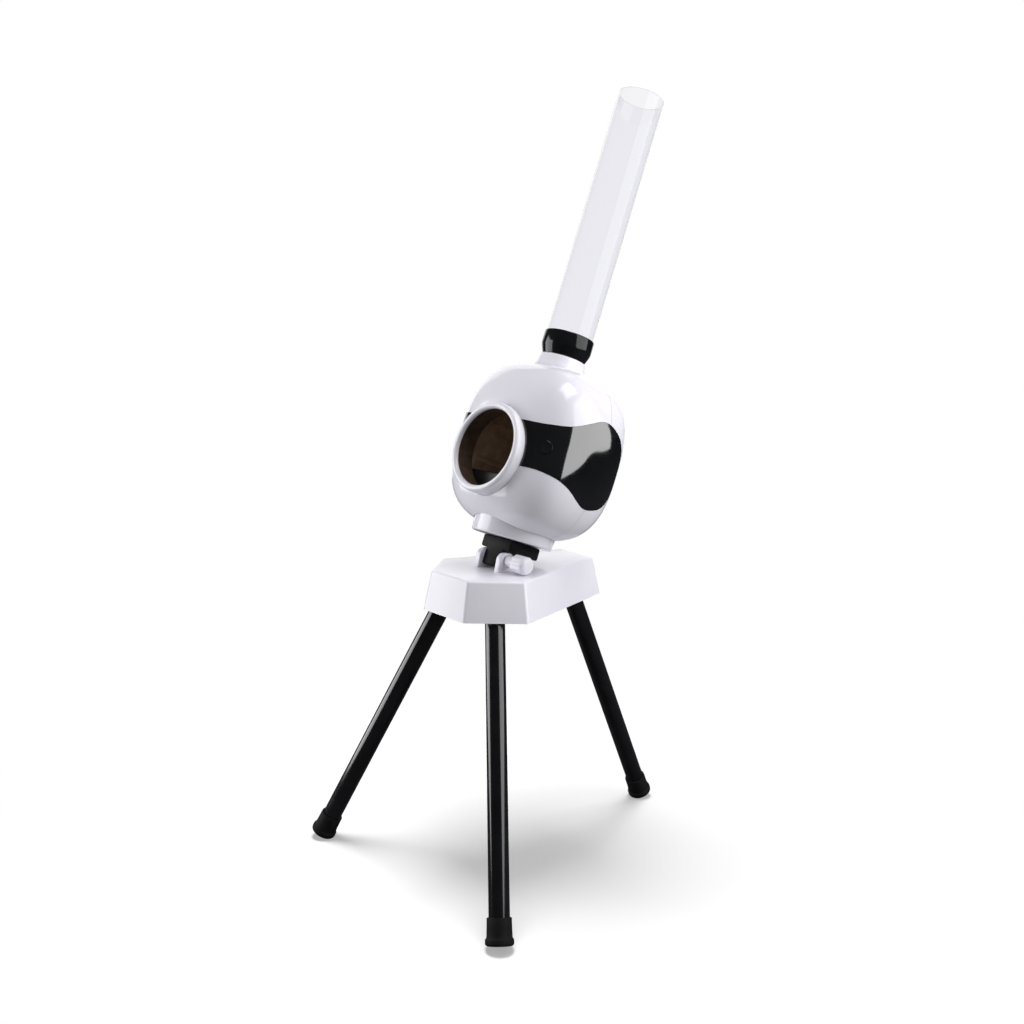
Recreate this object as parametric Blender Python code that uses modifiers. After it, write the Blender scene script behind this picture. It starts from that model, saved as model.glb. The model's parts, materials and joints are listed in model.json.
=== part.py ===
# Badminton serving machine: a round head that throws shuttlecocks from its mouth,
# with a clear hopper tube on top, on a six-sided base with three splayed legs.
# Metres, +Z up, the mouth faces -Y, the clamp knob is on the +X side.
# The origin is on the floor, under the middle of the whole machine.
import bpy
import bmesh
import math
from mathutils import Matrix, Vector

# Clearances and screws
GAP = 0.0003                 # between two pieces that touch or run in each other
OVERRUN = 0.002              # how far a cutter runs past the face that it opens
SINK = 0.0005                # how far a joined piece reaches into the wall that carries it
FAR = 0.2                    # reach of a cutter that goes right out of the head
SCREW_R = 0.0015             # shank of every small screw
SCREW_HEAD_R = 0.0029
SCREW_HEAD_H = 0.0020
SCREW_BITE = 0.0040          # how far a bracket screw goes into its boss
BASE_SCREW_L = 0.0140
ROUND_STEPS = 32             # steps round a large turned piece
SMALL_STEPS = 16             # steps round a pin
SCREW_STEPS = 12

# Base cover: a six-sided box with slanted sides, symmetric about X = 0
BASE_BOTTOM = 0.3886         # height of the cover's lower rim over the floor
BASE_HEIGHT = 0.0563
BASE_WALL = 0.0025
BASE_DRAFT = 0.0107          # how far the lower rim stands out past the top edge
BASE_FRONT_HALF = 0.0404
BASE_FRONT_Y = -0.1037
BASE_WIDE_HALF = 0.0901
BASE_WIDE_Y = -0.0437
BASE_REAR_HALF = 0.0354
BASE_REAR_Y = 0.1447
BASE_EDGE_R = 0.0022
FLOOR_PLATE_T = 0.0030
FLOOR_PLATE_RECESS = 0.0010
POST_R = 0.0045
POST_FRONT = (0.0600, -0.0080)
POST_REAR = (0.0300, 0.0980)
POST_HOLE_L = 0.0130

# Legs
LEG_R = 0.0140
LEG_WALL = 0.0012
LEG_TOP_FRONT = (0.0571, -0.0679)    # where the axis crosses the cover's lower rim
LEG_FOOT_FRONT = (0.2111, -0.1829)   # where the axis meets the floor
LEG_TOP_REAR_Y = 0.1326
LEG_FOOT_REAR_Y = 0.3195
LEG_IN_SOCKET = 0.0340
SOCKET_WALL = 0.0018
SOCKET_CAP = 0.0030
SOCKET_BELOW = 0.0300        # socket's length below the rim, before the floor plate cuts it
SOCKET_CUT = 0.0600          # half size of the block that cuts it
FOOT_TOP_R = 0.0165
FOOT_BOTTOM_R = 0.0190
FOOT_LENGTH = 0.0350
FOOT_SOLE = 0.0060
FOOT_EDGE_R = 0.0035
FOOT_CHAMFER = 0.0008
FOOT_CONE_LOW = 0.0110       # where the cap's cone ends over the sole
FOOT_FLANGE_TOP = 0.0080
FOOT_FLARE = 0.0006
FOOT_CUT = 0.0500            # half size of the block that cuts the flat
FOOT_FLAT = 0.0008           # depth of the worn flat that the foot stands on

# Tilt joint between the base's two ears
PIVOT_Y = -0.0190
PIVOT_ABOVE_BASE = 0.0143
TILT_DEG = 20.85             # how far the head leans back
TONGUE_HALF = 0.0170
TONGUE_R = 0.0130
TONGUE_WEB = 0.0060          # how far the tongue's rear web stands out at its root
TONGUE_WEB_LOW = 0.0010
TONGUE_WEB_Z = 0.0040
EAR_GAP = 0.0004
EAR_T = 0.0090
EAR_TOP_R = 0.0115
EAR_FRONT = 0.0035           # how far the ear's front corner is ahead of the pivot
EAR_REAR = 0.0
EAR_SPREAD = 0.0040
EAR_BEVEL = 0.0008
BOLT_R = 0.0030
BOLT_HEAD_R = 0.0058
BOLT_HEAD_T = 0.0042
WASHER_R = 0.0080
WASHER_T = 0.0012
KNOB_HUB_R = 0.0090
KNOB_HUB_L = 0.0150
KNOB_R = 0.0133
KNOB_L = 0.0270
KNOB_FLUTES = 10
KNOB_FLUTE_DEPTH = 0.0008
BOLT_IN_KNOB = 0.0220

# Tilt bracket under the head, in the head's own frame: origin on the tilt axis
BRACKET_HALF = 0.0310
BRACKET_FRONT = -0.0075
BRACKET_DEPTH = 0.0600
BRACKET_BOTTOM = 0.0120
BRACKET_HEIGHT = 0.0185
BRACKET_EDGE_R = 0.0030
BRACKET_SCREW_X = 0.0230
BRACKET_SCREW_Y = 0.0260
COUNTERBORE = 0.0040

# Skirt between bracket and shells
SKIRT_R = 0.0600
SKIRT_TOP_R = 0.0620
SKIRT_HEIGHT = 0.0315
SKIRT_WALL = 0.0030
SKIRT_FLOOR_T = 0.0040
SKIRT_EDGE_R = 0.0030
SKIRT_BOSS_R = 0.0040
SKIRT_BOSS_H = 0.0080

# Head shells: a rounded form whose three axes share one power
HEAD_Y = 0.0195
HEAD_Z = 0.1655
HEAD_HALF_X = 0.1180
HEAD_HALF_Y = 0.0930
HEAD_HALF_Z = 0.1240
HEAD_POWER = 3.0
HEAD_SEGMENTS = 40
HEAD_RINGS = 20
INSIDE_SEGMENTS = 28
INSIDE_RINGS = 14
SHELL_WALL = 0.0040
SPLIT_Y = 0.0325             # plane where front and rear shell meet
BOSS_R = 0.0052
BOSS_INSET = 0.00818         # in from the head's outside
BOSS_Z = 0.0710              # above and below the head's middle
BOSS_L = 0.0095
BOSS_SHY = 0.0006            # how far the bosses stay behind the split plane
BOSS_SEAT = 0.0030           # depth of the seat under a shell screw's head
BOSS_BLIND = 0.0020          # solid end of the front boss

# Visor panels on both sides
VISOR_PROUD = 0.0003
VISOR_T = 0.0020
VISOR_INNER_X = 0.0400
VISOR_OUTER_X = HEAD_HALF_X + 0.0120
BUTTON_Y = -0.0551
BUTTON_Z = 0.1613
BUTTON_R = 0.0090
BUTTON_PROUD = 0.0012
BUTTON_T = 0.0060
BUTTON_TRAVEL = 0.0012
SWITCH_SIZE = 0.0120
SWITCH_T = 0.0070
POST_SPREAD = 0.0125
SWITCH_POST_R = 0.0020
SWITCH_POST_START = 0.0028   # below the visor's underside
SWITCH_FLANGE = 0.0020
SWITCH_FLANGE_T = 0.0015
BUTTON_HOLE_REACH = 0.0200
BUTTON_DISH = 0.0009

# Mouth
MOUTH_DROP = 0.0215          # centre of the mouth below the head's middle
MOUTH_R = 0.0560
MOUTH_RING_R = 0.0658
MOUTH_CREST = 0.1037         # front of the ring ahead of the head's middle
MOUTH_RING_BACK = 0.0720
MOUTH_LIP = 0.0055           # depth of the ring's own bore, in front of the dark sleeve
SLEEVE_R = 0.0595
SLEEVE_WALL = 0.0025
SLEEVE_PLATE_T = 0.0020

# Launch chamber behind the mouth
CHAMBER_HALF = 0.0580
CHAMBER_WALL = 0.0020
CHAMBER_BOTTOM = 0.0860
CHAMBER_TOP = 0.2160
CHAMBER_BACK_Y = 0.0520
CHAMBER_RIB = 0.0022
CHAMBER_RIB_HALF = 0.0012
CHAMBER_RIB_START = 0.0100   # behind the chamber's front edge
CHAMBER_RIB_Z = (0.1300, 0.1380, 0.1720, 0.1900)

# Hopper: neck, collar, throat and tube stand on one axis
TUBE_Y = 0.0150
TUBE_R = 0.0350
TUBE_WALL = 0.0015
TUBE_VISIBLE = 0.3730
NECK_BOTTOM = 0.2780
NECK_SEAM = 0.2890
NECK_TOP = 0.3052
NECK_R = 0.0380
NECK_TOP_R = 0.0350
NECK_EDGE = 0.0006
THROAT_R = 0.0315
THROAT_WALL = 0.0017
THROAT_BOTTOM = 0.2260
COLLAR_BOTTOM_R = 0.0312
COLLAR_R = 0.0374
COLLAR_HEIGHT = 0.0355
COLLAR_SHOULDER = 0.0180
COLLAR_SEAT = 0.0175         # height of the ledge that the tube stands on

# Feed gates: two claws that let one shuttlecock drop
GATE_T = 0.0030
GATE_Z = 0.2188
GATE_INNER_R = 0.0150
GATE_OUTER_R = 0.0300
GATE_PIN_X = 0.0440
GATE_PIN_Y = 0.0400
GATE_PIN_R = 0.0020
GATE_EYE_R = 0.0050
GATE_PIN_PAST = 0.0020       # how far the pin reaches below the chamber's roof

# Striker: a flap that swings up from the chamber's floor and throws the shuttlecock out
STRIKER_Y = -0.0340
STRIKER_Z = 0.1100
STRIKER_TIP_Y = 0.0440
STRIKER_TIP_Z = 0.0960
STRIKER_HALF = 0.0480
STRIKER_T = 0.0036
STRIKER_HUB_R = 0.0062
STRIKER_AXLE_R = 0.0030
STRIKER_TIP_TAPER = 0.0012
AXLE_PAST_SPRING = 0.0060
AXLE_PAST_FRAME = 0.0010
SPRING_R = 0.0062
SPRING_WIRE_R = 0.0007
SPRING_TURNS = 6
SPRING_PITCH = 0.0020
SPRING_LEG = 0.0160
SILL_Y = -0.0480
SILL_T = 0.0020
SILL_HEIGHT = 0.0262

# Gear drive beside the chamber
GEAR_MODULE = 0.0014
GEAR_TEETH = 24
PINION_TEETH = 10
PINION_ANGLE_DEG = 20.0      # way from the striker's axle up to the motor
GEAR_T = 0.0050
TOOTH_SLACK = 0.00035
FRAME_T = 0.0015
FRAME_SPACE = 0.0075
FRAME_R = 0.0205
FRAME_MOTOR_R = 0.0150
SPACER_R = 0.0022
MOTOR_R = 0.0120
MOTOR_L = 0.0230
MOTOR_TAIL_R = 0.0030
MOTOR_TAIL_L = 0.0020
MOTOR_SHAFT_R = 0.0010
MOTOR_BOSS_R = 0.0040

# Power
CELL_R = 0.0071
CELL_L = 0.0505
CELL_COUNT = 4
CELL_Y = 0.0930
CELL_SPACE = 0.0006
CELL_CAP = 0.0010            # how far the pack's filling stays short of the cells' ends
BATTERY_BOX_WALL = 0.0015
DOOR_HALF = 0.0280
DOOR_T = 0.0030
DOOR_MARGIN = 0.0020         # door past the cells, above and below
DOOR_CUT = 0.1200            # depth of the door's cutter
DOOR_CORNER_R = 0.0060
BOARD_HALF = 0.0380
BOARD_HEIGHT = 0.0500
BOARD_T = 0.0016

# Values that follow from the sizes above
BASE_TOP = BASE_BOTTOM + BASE_HEIGHT
PIVOT_Z = BASE_TOP + PIVOT_ABOVE_BASE
EAR_INNER = TONGUE_HALF + EAR_GAP
EAR_OUTER = EAR_INNER + EAR_T
BRACKET_TOP = BRACKET_BOTTOM + BRACKET_HEIGHT
SKIRT_BOTTOM = BRACKET_TOP + GAP
MOUTH_Z = HEAD_Z - MOUTH_DROP
MOUTH_OPENING_R = MOUTH_RING_R + GAP
COLLAR_BOTTOM = NECK_TOP + GAP
TUBE_BOTTOM = COLLAR_BOTTOM + COLLAR_SEAT + GAP
TUBE_TOP = COLLAR_BOTTOM + COLLAR_HEIGHT + TUBE_VISIBLE
THROAT_BORE = THROAT_R - THROAT_WALL
GEAR_PITCH_R = GEAR_MODULE * GEAR_TEETH / 2
PINION_PITCH_R = GEAR_MODULE * PINION_TEETH / 2
GEAR_CENTRES = GEAR_PITCH_R + PINION_PITCH_R
PINION_Y = STRIKER_Y + GEAR_CENTRES * math.cos(math.radians(PINION_ANGLE_DEG))
PINION_Z = STRIKER_Z + GEAR_CENTRES * math.sin(math.radians(PINION_ANGLE_DEG))
CHAMBER_OUTER = CHAMBER_HALF + CHAMBER_WALL
FRAME_X = CHAMBER_OUTER + GAP
GEAR_X = FRAME_X + FRAME_T + 4 * GAP
OUTER_FRAME_X = FRAME_X + FRAME_T + FRAME_SPACE
SLEEVE_BACK = HEAD_Y - MOUTH_RING_BACK + GAP + SLEEVE_PLATE_T
CHAMBER_FRONT = SLEEVE_BACK + GAP

WHITE = (0.86, 0.86, 0.88)
BLACK_GLOSS = (0.006, 0.006, 0.007)
BLACK_SATIN = (0.018, 0.018, 0.019)
RUBBER = (0.012, 0.012, 0.013)
DARK_BROWN = (0.035, 0.024, 0.017)
GREY = (0.06, 0.057, 0.063)
STEEL = (0.55, 0.56, 0.58)
CLEAR = (0.92, 0.95, 0.96)
NYLON = (0.80, 0.79, 0.74)
GREEN = (0.02, 0.14, 0.06)


# Scene and small helpers

def start_scene():
    for item in list(bpy.data.objects):
        bpy.data.objects.remove(item, do_unlink=True)
    for name in ("badminton_serving_machine", "cutters"):
        group = bpy.data.collections.new(name)
        bpy.context.scene.collection.children.link(group)


def finish_of(name, colour, roughness, metallic=0.0):
    surface = bpy.data.materials.new(name)
    surface.use_nodes = True
    shader = surface.node_tree.nodes["Principled BSDF"]
    shader.inputs["Base Color"].default_value = (*colour, 1.0)
    shader.inputs["Roughness"].default_value = roughness
    shader.inputs["Metallic"].default_value = metallic
    surface.diffuse_color = (*colour, 1.0)
    return surface


def add_object(name, data, parent=None, cutter=False):
    item = bpy.data.objects.new(name, data)
    group = "cutters" if cutter else "badminton_serving_machine"
    bpy.data.collections[group].objects.link(item)
    item.parent = parent
    if cutter:
        item.hide_render = True
        item.display_type = "WIRE"
    return item


def add_empty(name, parent=None, location=(0, 0, 0), rotation=(0, 0, 0)):
    item = bpy.data.objects.new(name, None)
    bpy.data.collections["badminton_serving_machine"].objects.link(item)
    item.parent = parent
    item.location = location
    item.rotation_euler = rotation
    return item


def paint(item, colour, roughness, metallic=0.0, smooth=True):
    item.data.materials.clear()
    item.data.materials.append(finish_of(item.name, colour, roughness, metallic))
    if smooth:
        item.data.shade_smooth()
        item.data.set_sharp_from_angle(angle=math.radians(35))
    return item


def mesh_from(name, bm, parent, cutter=False):
    data = bpy.data.meshes.new(name)
    bmesh.ops.recalc_face_normals(bm, faces=bm.faces)
    bm.to_mesh(data)
    bm.free()
    return add_object(name, data, parent, cutter)


def add_box(name, low, high, parent=None, cutter=False):
    bm = bmesh.new()
    size = Vector(high) - Vector(low)
    middle = (Vector(high) + Vector(low)) / 2
    place = Matrix.Translation(middle) @ Matrix.Diagonal((*size, 1.0))
    bmesh.ops.create_cube(bm, size=1.0, matrix=place)
    return mesh_from(name, bm, parent, cutter)


def along(axis):
    """Rotation that lays a piece's own Z along the given direction."""
    return Vector((0, 0, 1)).rotation_difference(Vector(axis)).to_matrix().to_4x4()


def add_rod(name, start, end, radius, parent=None, cutter=False, steps=SMALL_STEPS, end_radius=None):
    start, end = Vector(start), Vector(end)
    axis = end - start
    place = Matrix.Translation((start + end) / 2) @ along(axis)
    bm = bmesh.new()
    tip = radius if end_radius is None else end_radius
    bmesh.ops.create_cone(bm, cap_ends=True, segments=steps, radius1=radius, radius2=tip,
                          depth=axis.length, matrix=place)
    return mesh_from(name, bm, parent, cutter)


def arc(centre, radius, start_deg, end_deg, steps):
    points = []
    for i in range(steps + 1):
        angle = math.radians(start_deg + (end_deg - start_deg) * i / steps)
        points.append((centre[0] + radius * math.cos(angle), centre[1] + radius * math.sin(angle)))
    return points


def add_turned(name, profile, parent=None, cutter=False, steps=ROUND_STEPS, closed=True):
    """Turn a profile of (radius, height) points round Z. It runs down the outer side."""
    data = bpy.data.meshes.new(name)
    verts = [(radius, 0.0, height) for radius, height in profile]
    edges = [(i, i + 1) for i in range(len(verts) - 1)]
    if closed:
        edges.append((len(verts) - 1, 0))
    data.from_pydata(verts, edges, [])
    item = add_object(name, data, parent, cutter)
    screw = item.modifiers.new("turn", "SCREW")
    screw.axis = "Z"
    screw.angle = math.tau
    screw.steps = steps
    screw.render_steps = steps
    screw.use_merge_vertices = True
    screw.merge_threshold = 0.00001
    return item


def add_plate(name, outline, thickness, parent=None, cutter=False):
    """Flat plate from a closed outline in its own XY plane, centred on Z = 0."""
    curve = bpy.data.curves.new(name, "CURVE")
    curve.dimensions = "2D"
    curve.fill_mode = "BOTH"
    curve.extrude = thickness / 2
    spline = curve.splines.new("POLY")
    spline.points.add(len(outline) - 1)
    for point, place in zip(spline.points, outline):
        point.co = (place[0], place[1], 0.0, 1.0)
    spline.use_cyclic_u = True
    return curve_to_mesh(name, curve, parent, cutter)


def curve_to_mesh(name, curve, parent=None, cutter=False):
    guide = bpy.data.objects.new(name + "_guide", curve)
    bpy.context.scene.collection.objects.link(guide)
    graph = bpy.context.evaluated_depsgraph_get()
    data = bpy.data.meshes.new_from_object(guide.evaluated_get(graph))
    place = guide.matrix_world.copy()
    bpy.data.objects.remove(guide, do_unlink=True)
    bm = bmesh.new()
    bm.from_mesh(data)
    bmesh.ops.remove_doubles(bm, verts=bm.verts, dist=0.000001)
    bmesh.ops.recalc_face_normals(bm, faces=bm.faces)
    bm.to_mesh(data)
    bm.free()
    data.name = name
    item = add_object(name, data, parent, cutter)
    item.matrix_local = place
    return item


# Turns a plate's own (x, y, z) into the machine's (Y, Z, X)
SIDEWAYS = (math.pi / 2, 0.0, math.pi / 2)
# Turns a turned piece's own Z into -Y, towards the mouth
FORWARD = (math.pi / 2, 0.0, 0.0)


def add_side_plate(name, outline, low_x, high_x, parent=None, cutter=False):
    """Plate from an outline of (Y, Z) points that runs from low_x to high_x."""
    item = add_plate(name, outline, high_x - low_x, parent, cutter)
    item.rotation_euler = SIDEWAYS
    item.location = ((low_x + high_x) / 2, 0.0, 0.0)
    return item


def boolean(item, other, operation):
    step = item.modifiers.new(operation.lower() + "_" + other.name, "BOOLEAN")
    step.operation = operation
    step.solver = "EXACT"
    step.object = other
    return item


def cut(item, *others):
    for other in others:
        boolean(item, other, "DIFFERENCE")
    return item


def join(item, *others):
    for other in others:
        boolean(item, other, "UNION")
    return item


def keep_inside(item, other):
    return boolean(item, other, "INTERSECT")


def bevel(item, width, segments=2, angle_deg=30.0):
    step = item.modifiers.new("bevel", "BEVEL")
    step.width = width
    step.segments = segments
    step.limit_method = "ANGLE"
    step.angle_limit = math.radians(angle_deg)
    return item


def add_screws(name, heads, axis, length, parent):
    """Pan-head screws; heads are the places under each head, and axis points out of the heads."""
    outline = [(0.0, SCREW_HEAD_H), (SCREW_HEAD_R * 0.7, SCREW_HEAD_H), (SCREW_HEAD_R, SCREW_HEAD_H * 0.4),
               (SCREW_HEAD_R, 0.0), (SCREW_R, 0.0), (SCREW_R, -length), (0.0, -length)]
    for i, head in enumerate(heads):
        screw = add_turned("%s_%d" % (name, i + 1), outline, parent, closed=False, steps=SCREW_STEPS)
        screw.matrix_local = Matrix.Translation(head) @ along(axis)
        paint(screw, STEEL, 0.35, 1.0)


# Base

def base_outline(offset):
    """Corners of the six-sided outline, moved out by offset and mitred."""
    corners = [Vector((BASE_FRONT_HALF, BASE_FRONT_Y)), Vector((BASE_WIDE_HALF, BASE_WIDE_Y)),
               Vector((BASE_REAR_HALF, BASE_REAR_Y)), Vector((-BASE_REAR_HALF, BASE_REAR_Y)),
               Vector((-BASE_WIDE_HALF, BASE_WIDE_Y)), Vector((-BASE_FRONT_HALF, BASE_FRONT_Y))]
    count = len(corners)
    moved = []
    for i, corner in enumerate(corners):
        before = (corner - corners[i - 1]).normalized()
        after = (corners[(i + 1) % count] - corner).normalized()
        out_before = Vector((before.y, -before.x))
        out_after = Vector((after.y, -after.x))
        mitre = (out_before + out_after).normalized()
        moved.append(corner + mitre * offset / mitre.dot(out_after))
    return moved


def add_tapered_base(name, bottom_z, top_z, bottom_offset, top_offset, parent, cutter=False, floor=True):
    bm = bmesh.new()
    face = bm.faces.new([bm.verts.new((p.x, p.y, bottom_z)) for p in base_outline(bottom_offset)])
    walls = bmesh.ops.extrude_face_region(bm, geom=[face])
    raised = [v for v in walls["geom"] if isinstance(v, bmesh.types.BMVert)]
    for vert in raised:
        nearest = min(base_outline(top_offset), key=lambda p: (p - vert.co.xy).length)
        vert.co = (nearest.x, nearest.y, top_z)
    if not floor:
        low = [f for f in bm.faces if all(v.co.z < bottom_z + GAP for v in f.verts)]
        bmesh.ops.delete(bm, geom=low, context="FACES_ONLY")
    return mesh_from(name, bm, parent, cutter)


def post_places():
    return [(side * x, y) for x, y in (POST_FRONT, POST_REAR) for side in (1, -1)]


def ear_outline():
    """One ear seen from the side: a low mound whose crown is round at both ends."""
    front = (PIVOT_Y - EAR_FRONT, PIVOT_Z)
    rear = (PIVOT_Y + EAR_REAR, PIVOT_Z)
    foot_z = BASE_TOP - BASE_WALL / 2
    points = arc(rear, EAR_TOP_R, 0, 90, 6) + arc(front, EAR_TOP_R, 90, 180, 6)
    points.append((front[0] - EAR_TOP_R - EAR_SPREAD, foot_z))
    points.append((rear[0] + EAR_TOP_R + EAR_SPREAD, foot_z))
    return points


def make_base_cover(root):
    cover = add_tapered_base("base_cover", BASE_BOTTOM, BASE_TOP, BASE_DRAFT, 0.0, root, floor=False)
    bevel(cover, BASE_EDGE_R, 2)
    wall = cover.modifiers.new("wall", "SOLIDIFY")
    wall.thickness = BASE_WALL
    wall.offset = -1.0
    wall.use_even_offset = True
    ears = ear_outline()
    for side in (1, -1):
        low, high = sorted((side * EAR_INNER, side * EAR_OUTER))
        ear = add_side_plate("ear_%s" % ("right" if side > 0 else "left"), ears, low, high, root, True)
        bevel(ear, EAR_BEVEL, 1)
        join(cover, ear)
    post_top = BASE_TOP - BASE_WALL / 2
    post_low = BASE_BOTTOM + FLOOR_PLATE_RECESS + FLOOR_PLATE_T + GAP
    for i, (x, y) in enumerate(post_places()):
        join(cover, add_rod("post_%d" % i, (x, y, post_low), (x, y, post_top), POST_R, root, True))
        cut(cover, add_rod("post_hole_%d" % i, (x, y, post_low - OVERRUN),
                           (x, y, post_low + POST_HOLE_L), SCREW_R + GAP, root, True))
    reach = EAR_OUTER + OVERRUN
    cut(cover, add_rod("bolt_hole", (-reach, PIVOT_Y, PIVOT_Z), (reach, PIVOT_Y, PIVOT_Z),
                       BOLT_R + GAP, root, True))
    return paint(cover, WHITE, 0.28)


def make_base_floor(root, legs):
    low = BASE_BOTTOM + FLOOR_PLATE_RECESS
    high = low + FLOOR_PLATE_T
    slope = BASE_DRAFT / BASE_HEIGHT
    wall_across = BASE_WALL * math.sqrt(1 + slope * slope)
    inset = BASE_DRAFT - wall_across - slope * (FLOOR_PLATE_RECESS + FLOOR_PLATE_T) - 2 * GAP
    plate = add_tapered_base("base_floor", low, high, inset, inset, root)
    for leg in legs:
        cut(plate, leg["hole"])
    for i, (x, y) in enumerate(post_places()):
        cut(plate, add_rod("floor_hole_%d" % i, (x, y, low - OVERRUN), (x, y, high + OVERRUN),
                           SCREW_R + GAP, root, True))
    heads = [(x, y, low - GAP) for x, y in post_places()]
    add_screws("base_screw", heads, (0, 0, -1), BASE_SCREW_L, root)
    return paint(plate, WHITE, 0.45, smooth=False)


# Legs

def leg_list():
    return [("right", Vector((*LEG_TOP_FRONT, BASE_BOTTOM)), Vector((*LEG_FOOT_FRONT, 0.0))),
            ("left", Vector((-LEG_TOP_FRONT[0], LEG_TOP_FRONT[1], BASE_BOTTOM)),
             Vector((-LEG_FOOT_FRONT[0], LEG_FOOT_FRONT[1], 0.0))),
            ("rear", Vector((0.0, LEG_TOP_REAR_Y, BASE_BOTTOM)), Vector((0.0, LEG_FOOT_REAR_Y, 0.0)))]


def make_leg(name, top, foot, root):
    """One leg in a frame whose Z runs up the leg from the place where its axis meets the floor."""
    axis = top - foot
    frame = add_empty("leg_axis_" + name, root, foot)
    frame.rotation_mode = "QUATERNION"
    frame.rotation_quaternion = Vector((0, 0, 1)).rotation_difference(axis)
    lean = math.atan2(axis.xy.length, axis.z)
    edge = FOOT_BOTTOM_R - FOOT_EDGE_R
    low = (edge * math.sin(lean) + FOOT_EDGE_R - FOOT_FLAT) / math.cos(lean) - FOOT_EDGE_R
    tube_low = low + FOOT_SOLE
    tube_high = axis.length + LEG_IN_SOCKET
    bore = LEG_R + GAP

    foot_top = low + FOOT_LENGTH
    profile = [(FOOT_TOP_R - FOOT_CHAMFER, foot_top), (FOOT_TOP_R, foot_top - FOOT_CHAMFER),
               (FOOT_TOP_R + FOOT_FLARE, low + FOOT_CONE_LOW), (FOOT_BOTTOM_R, low + FOOT_FLANGE_TOP)]
    profile += [(edge + r, h) for r, h in arc((0.0, low + FOOT_EDGE_R), FOOT_EDGE_R, 0, -90, 4)]
    profile += [(0.0, low), (0.0, tube_low - GAP), (bore, tube_low - GAP), (bore, foot_top)]
    cap = add_turned("foot_" + name, profile, frame, steps=20)
    ground = add_box("ground_" + name, (foot.x - FOOT_CUT, foot.y - FOOT_CUT, -FOOT_CUT),
                     (foot.x + FOOT_CUT, foot.y + FOOT_CUT, 0.0), root, True)
    cut(cap, ground)
    paint(cap, RUBBER, 0.75)

    inner = LEG_R - LEG_WALL
    tube = add_turned("leg_" + name, [(LEG_R, tube_high), (LEG_R, tube_low), (inner, tube_low),
                                      (inner, tube_high)], frame, steps=24)
    paint(tube, BLACK_GLOSS, 0.18)

    outer = bore + SOCKET_WALL
    cap_low = tube_high + GAP
    socket = add_turned("leg_socket_" + name,
                        [(0.0, cap_low + SOCKET_CAP), (outer, cap_low + SOCKET_CAP),
                         (outer, axis.length - SOCKET_BELOW), (bore, axis.length - SOCKET_BELOW),
                         (bore, cap_low), (0.0, cap_low)], frame, closed=False, steps=24)
    floor_top = BASE_BOTTOM + FLOOR_PLATE_RECESS + FLOOR_PLATE_T + GAP
    below = add_box("below_socket_" + name, (top.x - SOCKET_CUT, top.y - SOCKET_CUT, BASE_BOTTOM - SOCKET_CUT),
                    (top.x + SOCKET_CUT, top.y + SOCKET_CUT, floor_top), root, True)
    cut(socket, below)
    paint(socket, WHITE, 0.5)

    hole = add_rod("leg_hole_" + name, (0, 0, axis.length - SOCKET_BELOW), (0, 0, axis.length + SOCKET_BELOW),
                   bore, frame, True, 24)
    return {"hole": hole}


# Tilt clamp

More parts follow.
